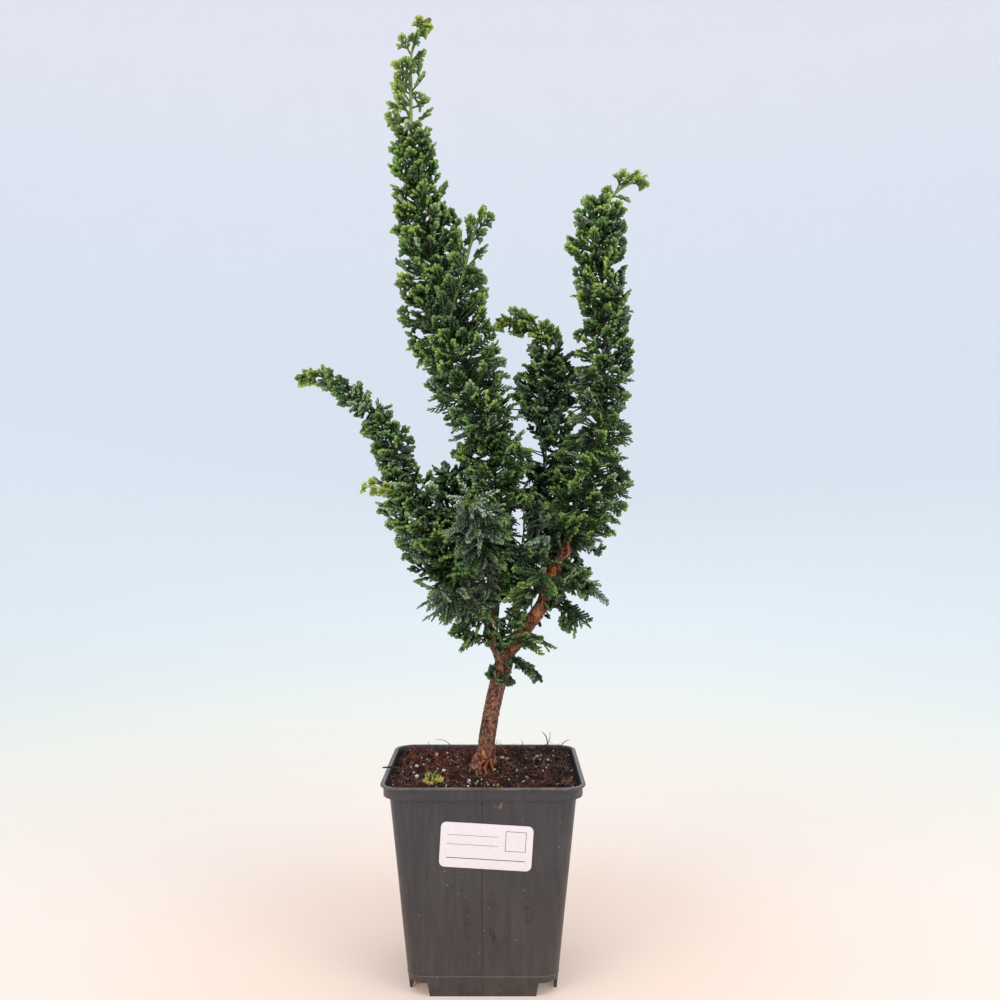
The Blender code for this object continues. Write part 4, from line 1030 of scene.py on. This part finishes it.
# For each stem: its colour, its habit, how much its sprays lift, and its route as (x, y, z, reach).
STEMS = {
    "leader_side_shoot": ("mid", "open", 0.15, (
        (-20, -2, 366, 4), (-17, -10, 379, 10), (-12, -15, 391, 10), (-8, -18, 406, 9.5), (-5, -20, 415, 7),
        (-3, -21, 421, 4.5), (0.5, -22, 428, 3.5))),
    "leader": ("mid", "crowded", 0.05, (
        (6, -1, 218, 18), (6, -2, 234, 22), (7, -4, 255, 25), (7, -4, 272, 25), (5, -4, 292, 25),
        (1, -4, 307, 25), (-5, -3, 322, 25), (-10, -2, 337, 25.5), (-14, 0, 351, 28), (-20, 0, 365, 28.5),
        (-25, 1, 381, 28), (-29, 1, 398, 25), (-33, 2, 416, 21.5), (-36, 2, 433, 18.5), (-38, 2, 450, 16.5),
        (-42, 2, 468, 15.5), (-42, 2, 479, 14))),
    "leader_tip": ("fresh", "open", 0.10, (
        (-42, 2, 479.4, 14), (-42, 2, 497, 13), (-42, 2, 508, 11.5), (-42, 1, 519, 9), (-40.5, 0, 526.5, 5),
        (-38, 0, 532.5, 4), (-34.5, -1, 537.5, 3.5), (-31.5, -2, 540.5, 3.5))),
    "left_tuft": ("yellow", "open", 0.05, (
        (-45, -9, 270, 3), (-52, -19, 272.5, 4), (-60, -24, 274, 4.5), (-66, -27, 274.5, 3))),
    "left_limb": ("mid", "layered", -0.05, (
        (-8, -5.5, 214, 20), (-16, -8, 228, 23.5), (-29, -10, 250, 24.5), (-41, -9, 267, 20.5),
        (-48.4, -8, 278, 16), (-49, -8, 288, 15), (-53, -7, 300, 14), (-58, -6, 309, 12.5),
        (-67, -5, 318, 11), (-75, -4, 326, 9.5), (-83, -3, 332, 8.5), (-90, -2, 336, 7), (-97, -1, 338, 6),
        (-107, 0, 336.5, 4.5))),
    "right_limb": ("mid", "crowded", 0.0, (
        (42, 3, 230, 13), (52, 5, 249, 21), (57, 6, 264, 25), (61, 7, 281, 26), (64.5, 8, 298, 22.5),
        (66.5, 8, 319, 20.5), (69, 8, 336, 20), (70, 8, 354, 19.5), (69, 7, 375, 18.5), (68, 6, 391, 17.5),
        (65, 5, 406, 19.5), (65, 5, 419, 19.5), (68, 4, 430, 15), (71, 3, 438, 10))),
    "right_limb_tip": ("fresh", "open", 0.10, (
        (71.2, 3, 438.4, 12), (76, 2, 443.5, 7), (80, 2, 446.5, 5.5), (86, 1, 449, 4.5),
        (91.5, 0, 449, 3.5))),
    "middle_limb": ("deep", "layered", 0.0, (
        (35, 12, 233, 15), (36, 17, 246, 17), (36, 22, 268, 19), (35, 24, 290, 20), (34, 25, 311, 21),
        (36, 25, 331, 23), (39, 24, 348, 19.5), (40, 23, 356, 13))),
    "middle_limb_tip": ("fresh", "layered", 0.10, (
        (38.1, 23, 355, 11), (35, 22, 363, 9.5), (29, 21, 368, 9), (21, 20, 370.5, 7), (13, 19, 370.5, 5.5),
        (7, 18, 369, 4.5))),
    "silver_spray": ("silver", "feathery", 0.0, (
        (5, 0, 203, 3), (3, -13, 212, 9), (1, -24, 236, 17), (-4, -36, 254, 21), (-7, -42, 266, 17))),
    "front_left_spray": ("silver", "feathery", -0.20, (
        (5, 0, 194, 3), (-2, -10, 199, 9), (-9, -20, 207, 16), (-18, -28, 213, 15), (-26, -34, 211, 9))),
    "front_right_spray": ("fresh", "feathery", -0.05, (
        (28, -1, 199, 3), (27, -10, 204, 8), (27, -19, 212, 15), (30, -29, 223, 15), (33, -35, 230, 9))),
    "heart_spray": ("deep", "layered", 0.05, (
        (26, -1, 197, 3), (21, -6, 211, 8), (20, -20, 234, 17), (22, -29, 250, 18), (22, -31, 264, 12))),
    "back_left_spray": ("deep", "crowded", 0.0, (
        (5, 0, 197, 3), (1, 10, 204, 9), (-9, 22, 218, 20), (-21, 34, 240, 22), (-27, 40, 258, 14))),
    "back_middle_spray": ("deep", "crowded", 0.0, (
        (6, 0, 206, 3), (10, 11, 214, 9), (12, 25, 228, 19), (12, 36, 248, 22), (9, 40, 270, 14))),
    "back_right_spray": ("deep", "crowded", 0.0, (
        (36, 0, 214, 3), (41, 10, 218, 9), (47, 24, 224, 18), (56, 35, 240, 20), (62, 40, 258, 13))),
    "left_inner_spray": ("deep", "layered", 0.05, (
        (5, 0.5, 211, 3), (-1, 6, 218, 8), (-9, 6, 234, 13), (-15, 1, 253, 18), (-17, -4, 271, 18),
        (-16, -6, 285, 13))),
    "fork_spray": ("mid", "layered", -0.05, (
        (8, 0, 181, 3), (10, -9, 187, 7), (14, -14, 197, 10), (16, -16, 206, 7))),
    "right_skirt_spray": ("deep", "layered", -0.25, (
        (40, 2, 226, 3), (46, -6, 225, 8), (52, -13, 222, 10), (59, -18, 217, 7))),
    "right_low_spray": ("deep", "layered", -0.25, (
        (28, 4, 198, 3), (36, 1, 203.5, 8), (43, -5, 206.5, 12), (49, -10, 203.5, 9), (51, -12, 198, 6))),
    "low_left_spray": ("mid", "layered", -0.30, (
        (6, 0, 186, 3), (-1, -9, 190, 6.5), (-6, -15, 192, 7.5), (-11, -19, 190, 5.5))),
    "low_right_spray": ("silver", "feathery", -0.25, (
        (17, 0, 184, 3), (22, -9, 188, 7), (27, -14, 190, 7.5), (31, -17, 189, 5.5))),
    "trunk_sprig_left": ("mid", "layered", -0.10, (
        (9, 0, 164, 3), (7.2, -5, 167.5, 4.5), (5, -7, 168.5, 4.5), (3, -8, 166.5, 4))),
    "trunk_sprig_middle": ("mid", "layered", -0.10, (
        (9, 0, 162, 3), (11, -7, 165.5, 4.5), (14, -9, 166.5, 5), (16.5, -11, 165, 4))),
    "trunk_sprig_right": ("deep", "layered", -0.15, (
        (12, 0, 174, 3), (18, -7, 175, 5.5), (25, -10, 172, 4), (32, -13, 166, 2.6))),
}
# For each colour, and for single stems that differ: how young its leaves look, from 0, old and dark, to 1,
# and the share with silvery bloom.
LEAF_TONES = {
    "deep": (0.34, 0.04), "mid": (0.46, 0.05), "fresh": (0.61, 0.0), "yellow": (0.96, 0.0),
    "silver": (0.42, 0.5), "front_right_spray": (0.44, 0.0), "left_limb": (0.47, 0.16),
    "middle_limb": (0.39, 0.04), "middle_limb_tip": (0.68, 0.0), "trunk_sprig_right": (0.42, 0.0),
    "right_skirt_spray": (0.44, 0.04), "right_low_spray": (0.37, 0.04), "low_right_spray": (0.52, 0.35),
}
# The stems that end in a whorl of fronds: the way it faces, the degrees, from its right and up, at which its
# fronds point, and the silvery bloom of each. Then the stems with browned ends, with the length in mm that is
# younger and by how much.
WHORLS = {"silver_spray": (
    (0.0, -1.0, 0.25), (24, -4, -27, -48, -78, -122, -158, 172, 118),
    (1.2, 0.8, 1.0, 1.25, 0.7, 0.35, 0.5, 1.1, 1.0))}
BROWNED = {"leader_side_shoot": (16, 0.25), "leader_tip": (16, 0.25), "left_limb": (34, 0.42),
           "right_limb_tip": (16, 0.25)}
STEM_PATHS = {name: smooth_path(points, 1.0) for name, (_, _, _, points) in STEMS.items()}


def spray_seats(path, places, habit, pick):
    """Where each spray of a stem sits: as many as the leafy surface holds, turned by the golden turn.

    On a flat stem the sprays alternate left and right instead. A spray's tip lies at the stem's reach times
    a share that varies in clumps; nearly half of the sprays stay short, covered by the others.
    """
    area, flat, _, filling = HABITS[habit]
    side, other = path_frames(path)[1:]
    density = 2 * math.pi * np.maximum(path[:, 3], 10.0 if habit == "open" else 5.0) / area
    total = np.concatenate(([0.0], np.cumsum(0.5 * (density[1:] + density[:-1]) * np.diff(places))))
    count = int(total[-1]) + 1
    number = np.arange(count)
    spot = np.interp((number + pick.uniform(0, 1, count)) / count * total[-1], total, places)
    i = np.clip(np.searchsorted(places, spot), 0, len(path) - (3 if habit == "open" else 6))
    free_turn = GOLDEN_TURN * number + pick.uniform(-0.35, 0.35, count)
    flat_turn = math.pi * (number % 2) + pick.normal(0, 0.45, count)
    turn = np.where(pick.random(count) < flat, flat_turn, free_turn)
    outward = side[i] * np.cos(turn)[:, None] + other[i] * np.sin(turn)[:, None]
    clump = lumps(path[i, :3] + outward * path[i, 3:4], 12.0, 71)
    covered = (pick.random(count) < COVERED_SHARE) & (habit != "open")
    layer = np.where(covered, pick.uniform(0.5, 0.78, count), pick.uniform(0.9, 1.08, count))
    return i, outward, filling * path[i, 3] * layer * (1 + 0.15 * clump), clump, covered


def square_to(along, vectors):
    """The vectors less their share along the unit directions, made one long."""
    return unit(vectors - along * np.sum(vectors * along, axis=1)[:, None])


def spray_frames(name, i, outward, reach, pick):
    """Each spray's root, its directions across, along and out of its plane, its length, and if it is a frond.

    A spray leans out from its stem by 42 to 76 degrees, rises or droops by the stem's lift, and is as long
    as its kind grows but for the reach. The last spray goes on from the stem's end, or a whorl stands there.
    """
    _, habit, lift, _ = STEMS[name]
    path = STEM_PATHS[name][0]
    count = len(i)
    ahead = path_frames(path)[0][i]
    low = np.clip((FRONDS_BELOW[0] - path[i, 2]) / (FRONDS_BELOW[0] - FRONDS_BELOW[1]), 0, 1)
    frond = pick.random(count) < HABITS[habit][2] * low
    lean = np.radians(pick.uniform(*LEAN, count) + 10 * low) * np.clip(path[i, 3] / 12, 0.6, 1)
    up = lift + pick.uniform(-0.2, 0.2, count) - 0.70 * low * frond
    sideways = unit(np.cross(ahead, outward))
    along = outward * np.sin(lean)[:, None] + ahead * np.cos(lean)[:, None] + up[:, None] * UPWARD
    along = unit(along + sideways * pick.uniform(-0.4, 0.4, (count, 1)))
    rise = np.maximum(np.sum(along * outward, axis=1), 0.35)
    long = np.where(frond, pick.uniform(*FROND_LONG, count), pick.uniform(*HAND_LONG, count))
    long = np.full(count, OPEN_LONG) if habit == "open" else long
    long = np.minimum(long, np.maximum(reach / rise * 0.97, 3.6 if habit == "open" else 5.4))
    roll = (math.pi / 2) * (HABITS[habit][1] > 0) + pick.normal(0.0, 0.8, count) * np.where(frond, 1.6, 1.0)
    across = turned(square_to(along, sideways), along, roll)
    root = path[i, :3] + outward * np.maximum(reach - long * rise, 0.4)[:, None]
    long[-1] = min(long[-1], 4.5 if habit == "open" else 7.0)
    along[-1] = unit(path[-1, :3] - path[-4, :3])
    across[-1] = unit(np.cross(along[-1], (0.0, 1.0, 0.3)))
    root[-1] = path[-1, :3] - 0.75 * long[-1] * along[-1]
    if name in WHORLS:
        axis, turns, _ = WHORLS[name]
        whorl = slice(-len(turns), None)
        side = unit(np.cross(UPWARD, axis))
        turn = np.radians(turns)[:, None]
        around = np.cross(axis, side) * np.sin(turn) + side * np.cos(turn)
        along[whorl] = unit(around + pick.uniform(-0.1, 0.5, turn.shape) * unit(np.array(axis)))
        facing = unit(np.cross(along[whorl], axis) + pick.normal(0, 0.3, around.shape))
        across[whorl] = square_to(along[whorl], facing)
        root[whorl] = path[-1, :3] + 0.6 * along[whorl]
        long[whorl] = pick.uniform(9.0, 16.5, len(turns))
        frond[whorl] = True
    return root, across, along, np.cross(across, along), long, frond


def hidden(name, points):
    """True for points deep inside another stem's leaves."""
    inside = np.zeros(len(points), bool)
    for other, (path, _) in STEM_PATHS.items():
        if other != name:
            away = np.linalg.norm(points[:, None] - path[None, ::3, :3], axis=-1)
            inside |= np.any(away < HIDDEN_DEPTH * path[None, ::3, 3], axis=1)
    return inside


def kept_open(points):
    """True for points in front of bare wood, or in a light gap, as the camera's place sees them."""
    camera_place = np.array(CAMERA_PLACE)
    from_camera = points - camera_place
    x, _, z = np.moveaxis(camera_place - from_camera * camera_place[1] / from_camera[..., 1:2], -1, 0)
    result = np.zeros(points.shape[:-1], bool)
    for spots, nearer in ((BARE_WOOD, 1.0), (LIGHT_GAPS, 1000.0)):
        for at_x, at_z, radius in spots:
            result |= (np.hypot(x - at_x, z - at_z) < radius) & (points[..., 1] < nearer)
    return result


def hand_plan(long, pick):
    """A hand's branchlets: three pairs off its axis and the axis's end, then six shoots from the pairs.

    Gives the start (x, y), the heading from the axis, and the length of each.
    """
    n = len(long)
    side = np.array((1, -1, 1, -1, 1, -1, 0.0))
    place = np.array((0.22, 0.30, 0.44, 0.52, 0.66, 0.70, 0.72)) + pick.uniform(-0.03, 0.03, (n, 7))
    heading = np.radians(np.array((58, 58, 50, 50, 40, 40, 0)) * side * pick.uniform(0.8, 1.2, (n, 7)))
    length = np.array((0.46, 0.44, 0.40, 0.36, 0.28, 0.26, 0.27)) * pick.uniform(0.8, 1.15, (n, 7))
    start = np.stack((np.zeros((n, 7)), place), axis=-1)
    parent = np.array((0, 0, 1, 1, 2, 3))
    swing = np.radians(np.array((42, -42, 42, -42, -42, 42.0))) * pick.uniform(0.8, 1.2, (n, 6))
    forth = np.stack((np.sin(heading), np.cos(heading)), axis=-1)
    at = np.array((0.42, 0.60, 0.42, 0.60, 0.5, 0.5))
    shoots = start[:, parent] + forth[:, parent] * (length[:, parent] * at)[..., None]
    start = np.concatenate((start, shoots), axis=1)
    heading = np.concatenate((heading, heading[:, parent] + swing), axis=1)
    length = np.concatenate((length, 0.20 * pick.uniform(0.8, 1.2, (n, 6))), axis=1)
    return start * long[:, None, None], heading, length * long[:, None] + 0.3


def covered_hand_plan(long, pick):
    """A covered hand's branchlets: the same without the shoots."""
    return [part[:, :7] for part in hand_plan(long, pick)]


def frond_plan(long, pick):
    """A frond's branchlets: close pairs, shorter towards its end, as the barbs of a feather."""
    n, pairs = len(long), 7
    place = np.concatenate((np.linspace(0.08, 0.90, 2 * pairs), [0.90]))
    side = np.array([1, -1] * pairs + [0.0])
    heading = np.radians(side * (62 - 18 * place) * pick.uniform(0.9, 1.1, (n, 2 * pairs + 1)))
    length = (0.26 - 0.15 * place) * np.minimum(1.0, 0.6 + 2.0 * place)
    length = length * pick.uniform(0.8, 1.15, heading.shape)
    start = np.stack((np.zeros_like(length), np.broadcast_to(place, length.shape)), axis=-1)
    return start * long[:, None, None], heading, (length * long[:, None]) + 0.5


def branchlets(start, heading, length, radius, shares, swell, sides, pick):
    """Branchlets as rings of points in their spray's frame: x across, y along, z out of its plane.

    The centre goes out by length x share along the heading, which turns back toward the axis by half; the
    ring is centre + radius (across cos a + 0.8 out sin a), shifted a little to alternate sides, and one
    last point closes the round tip.
    """
    steps = np.array(shares + (1.04,))
    angle = heading[..., None] * (1 - FINGER_TURN_BACK * steps / 2)
    reach = length[..., None] * steps
    rise = pick.uniform(-0.22, 0.32, length.shape)[..., None] * reach
    centre = np.stack((reach * np.sin(angle), reach * np.cos(angle), rise), axis=-1)
    centre[..., :2] += start[..., None, :]
    facing = heading[..., None] * (1 - FINGER_TURN_BACK * steps[:-1])
    across = np.stack((np.cos(facing), -np.sin(facing), 0 * facing), axis=-1)
    radii = radius[..., None] * np.array(swell) * pick.uniform(0.9, 1.1, length.shape + (len(swell),))
    zigzag = 0.20 * radii * np.where(np.arange(len(swell)) % 2, 1, -1)
    middle = centre[..., :-1, :] + across * zigzag[..., None]
    ring = ring_round(across, np.array((0.0, 0.0, 0.8)), sides)
    rings = middle[..., None, :] + radii[..., None, None] * ring
    return np.concatenate((rings.reshape(*length.shape, -1, 3), centre[..., -1:, :]), axis=2)


def arched(points, long, pick):
    """The sprays' own curl: out of their plane by arch y^2/L + cup x^2/L."""
    arch = pick.uniform(-0.05, 0.30, (len(long), 1, 1))
    cup = pick.uniform(-0.45, 0.25, (len(long), 1, 1))
    bent = points.copy()
    bent[..., 2] -= (arch * points[..., 1] ** 2 + cup * points[..., 0] ** 2) / long[:, None, None]
    return bent


def tube_cloud(centres, radii, sides):
    """Many short tubes at once: centres (tubes, rings, 3) and radii (tubes, rings), with closed ends."""
    ahead = unit(np.gradient(centres, axis=1))
    side = unit(np.cross(ahead, (0.31, 0.42, 0.85)))
    ring = ring_round(side, np.cross(ahead, side), sides)
    points = centres[:, :, None] + radii[..., None, None] * ring
    return points.reshape(-1, 3), tube_faces(centres.shape[1], sides, len(centres))


def twig_tubes(path, i, root, along, long):
    """Each spray's twig: from the stem, a little below the spray, through its root and along its axis."""
    below = path[np.maximum(i - 4, 0), :3]
    inner = below[:, None] + (root - below)[:, None] * np.array((0.0, 0.5))[:, None]
    outer = root[:, None] + along[:, None] * (long[:, None] * np.array((0.0, 0.45, 0.86)))[..., None]
    radii = np.clip(long / 12.0, 0.6, 1.0)[:, None] * np.array((0.62, 0.60, 0.70, 0.64, 0.42))
    return tube_cloud(np.concatenate((inner, outer), axis=1), radii, 3)


def stem_tube(path, bare):
    """The stem itself: thick where its sprays reach far, slim at its tip and in the light gaps."""
    steps = np.linspace(0, len(path) - 1, max(4, len(path) // 4)).astype(int)
    radii = np.clip(0.05 * path[steps, 3], 0.45, 0.9) + 0.3 * bare
    radii = radii * np.where(kept_open(path[steps, :3]), 0.4, 1.0)
    return tube_cloud(path[None, steps, :3], radii[None], 8)


def leaf_values(name, local, long, at, outward, clump, covered, last, spent, pick):
    """Each point's age, light, bloom and dryness: younger and lighter at the rim of its spray and at tips.

    The light is painted light and shade: low toward each spray's root and in covered sprays, high at its rim
    and at the branchlets' tips. The ends of some stems are younger still, and the leaves above 330 mm get a
    painted light that shifts them toward the young colour, more on the tree's left; low down more leaves are
    silvery.
    """
    young, silvery = LEAF_TONES.get(name, LEAF_TONES[STEMS[name][0]])
    younger, gain = BROWNED.get(name, (1.0, 0.0))
    blooms = np.array(WHORLS.get(name, ((), (), ()))[2] + (0.0,))
    count = len(long)
    span = long[:, None, None]
    tipness = np.clip(local[..., 1] / span, 0, 1.05)
    rim = np.hypot(local[..., 0], local[..., 1] - 0.4 * span) / (0.55 * span)
    rim = np.clip(rim, 0, 1.1)
    high = at[:, 2] - PAINTED_LIGHT_ABOVE
    # Painted light: above 330 mm the leaves shift toward the young colour the higher they are, more on the
    # tree's left, less on its right.
    painted_top_light = 0.12 * np.clip(high / 120, 0, 1) - 0.08 * outward[:, 0] * (high > 0)
    ending = np.linalg.norm(at[:, :3] - STEM_PATHS[name][0][-1, :3], axis=1) / younger
    own = young + 0.10 * clump + painted_top_light + gain * np.clip(1 - ending, 0, 1) + pick.normal(0, 0.055, count)
    age = own[:, None, None] + 0.32 * (rim - 0.6) + pick.normal(0, 0.045, local.shape[:2])[..., None]
    whorled = last < len(blooms)
    age = age + 0.85 * whorled[:, None, None] * np.clip(1 - 2.0 * tipness, 0, 1)
    # Painted shade: the light layer is low at each spray's root and in covered sprays, high at its rim and
    # tips.
    light = (0.20 + 0.45 * rim + 0.38 * spent) * np.where(covered, 0.6, 1.0)[:, None, None]
    streak = (pick.random(local.shape[:2]) < 0.7)[..., None] * np.clip(4 * tipness - 0.8, 0, 1)
    streak = np.where(whorled[:, None, None], streak, np.sin(7.0 * local[..., 0]) ** 2)
    silvery = silvery + 0.13 * np.clip((FRONDS_BELOW[0] - at[:, 2]) / 60, 0, 1)
    bloom = (pick.random(count) < silvery) * pick.uniform(0.3, 0.8, count)
    bloom = np.where(whorled, blooms[np.clip(len(blooms) - 1 - last, 0, None)], bloom)[:, None, None] * streak
    dead = DEAD_SHARES.get(name, DEAD_SHARES["most"])
    dry = (pick.random(local.shape[:2]) < dead)[..., None] * np.ones_like(age)
    if name in BROWNED:
        dry = np.maximum(dry, 0.85 * (last == 1)[:, None, None] * (tipness > 0.75))
    return np.stack((age, light, bloom, dry), axis=-1)


def leafy_stem(name, number, material):
    """One leafy stem as a single mesh: sprays all round its path, their twigs, and the stem itself inside."""
    colour, habit = STEMS[name][:2]
    pick = np.random.default_rng(500 + number)
    path, places = STEM_PATHS[name]
    i, outward, reach, clump, covered = spray_seats(path, places, habit, pick)
    root, across, along, normal, long, frond = spray_frames(name, i, outward, reach, pick)
    twig = root[:, None] + along[:, None] * (long[:, None] * np.array((0.0, 0.25, 0.5)))[..., None]
    keep = ~hidden(name, root + along * long[:, None] * 0.8) & ~kept_open(twig).any(axis=1)
    last = len(i) - np.arange(len(i))
    parts = []
    for group, plan, sides, radius, shares, swell in (
        (~frond & ~covered, hand_plan, 4, 1.02, (0.0, 0.48, 0.88), (0.64, 1.02, 1.0)),
        (~frond & covered, covered_hand_plan, 3, 1.22, (0.0, 0.86), (0.85, 1.0)),
        (frond, frond_plan, 4, 0.68, (0.0, 0.5, 0.88), (0.70, 1.0, 0.85)),
    ):
        k = np.flatnonzero(group & keep)
        if not len(k):
            continue
        start, heading, length = plan(long[k], pick)
        whorled = (last[k] <= len(WHORLS.get(name, ((), ()))[1]))[:, None]
        length = length * np.where(whorled, 0.8, 1.0)
        size = radius * pick.uniform(0.85, 1.12, whorled.shape) * np.clip(long[k] / 9.0, 0.7, 1.0)[:, None]
        size = size * np.where(whorled, 0.72, 1.0) * np.ones_like(length)
        local = branchlets(start, heading, length, size, shares, swell, sides, pick)
        local = arched(local, long[k], pick)
        world = root[k][:, None, None] + sum(
            local[..., j:j + 1] * axis[k][:, None, None] for j, axis in enumerate((across, along, normal)))
        value = leaf_values(name, local, long[k], path[i[k]], outward[k], clump[k], covered[k], last[k],
                            np.append(np.repeat(shares, sides), 1.0), pick)
        stay = ~kept_open(world.mean(axis=2))
        faces = tube_faces(len(shares), sides, stay.sum(), pointed=True)
        parts.append((world[stay].reshape(-1, 3), faces, value[stay].reshape(-1, 4)))
    young = LEAF_TONES.get(name, LEAF_TONES[colour])[0] + 0.1
    # Painted shade for stems and twigs: dark inside the foliage, middling for twigs, light for open stems.
    inside = (young, 0.85, 0.0, 0.0) if habit == "open" else (young, 0.2, 0.0, 0.3)
    for shape, value in (
        (twig_tubes(path, i[keep], root[keep], along[keep], long[keep]), (young, 0.55, 0.0, 0.0)),
        (stem_tube(path, habit == "open"), inside),
    ):
        parts.append((*shape, np.broadcast_to(value, (len(shape[0]), 4))))
    points, faces, values = zip(*parts)
    first = np.cumsum([0] + [len(some) for some in points])
    faces = np.concatenate([some + start for some, start in zip(faces, first)])
    age, light, bloom, dry = np.concatenate(values).T
    return mesh_piece(name + "_leaves", np.concatenate(points), faces, material,
                      age=age, light=light, bloom=bloom, dry=dry)


def scale_leaves():
    """Scale leaves: waxy green, old ones dark and bluish, young tips yellow-green, some silvery, under
    painted shade.
    """
    add, finish = new_material("scale leaves", 0.46, 0.45)
    age, light, bloom, dry = (add("Attribute", out="Fac", attribute_name=name)
                              for name in ("age", "light", "bloom", "dry"))
    place = add("TexCoord", out="Object")
    shift = add("MapRange", add("TexNoise", place, Scale=55, Detail=2), 0.3, 0.7, -0.08, 0.08)
    colour = add("ValToRGB", add("Math ADD", age, shift), stops=(
        (0.0, "#19281b"), (0.22, "#324b30"), (0.42, "#50703e"), (0.60, "#749747"), (0.80, "#9db850"),
        (1.0, "#c3cf62")))
    # Painted shade: the light layer darkens the leaves toward spray roots, in covered sprays and on inner
    # stems.
    shade = add("ValToRGB", light, stops=((0.15, "#424b43"), (0.6, "#bcc0b9"), (0.95, "#ffffff")))
    colour = add("Mix", 1, colour, shade, blend_type="MULTIPLY")
    scales = add("TexVoronoi", place, Scale=950)
    darker = add("Mix", 1, colour, "#7c8a72", blend_type="MULTIPLY")
    frost = add("Math MULTIPLY", add("MapRange", scales, 0.15, 0.55, 0.25, 0.85), bloom)
    for mask, tone in ((add("MapRange", scales, 0.25, 0.75, 0, 0.45), darker), (frost, "#b8c6b6"),
                       (dry, "#5e4431")):
        colour = add("Mix", mask, colour, tone)
    return finish(Base_Color=colour, Normal=add("Bump", Strength=0.55, Distance=0.0003, Height=scales,
                                                invert=True))


leaves = scale_leaves()
for number, name in enumerate(STEMS):
    piece = leafy_stem(name, number, leaves)
    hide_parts(name)
    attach(piece, "root")
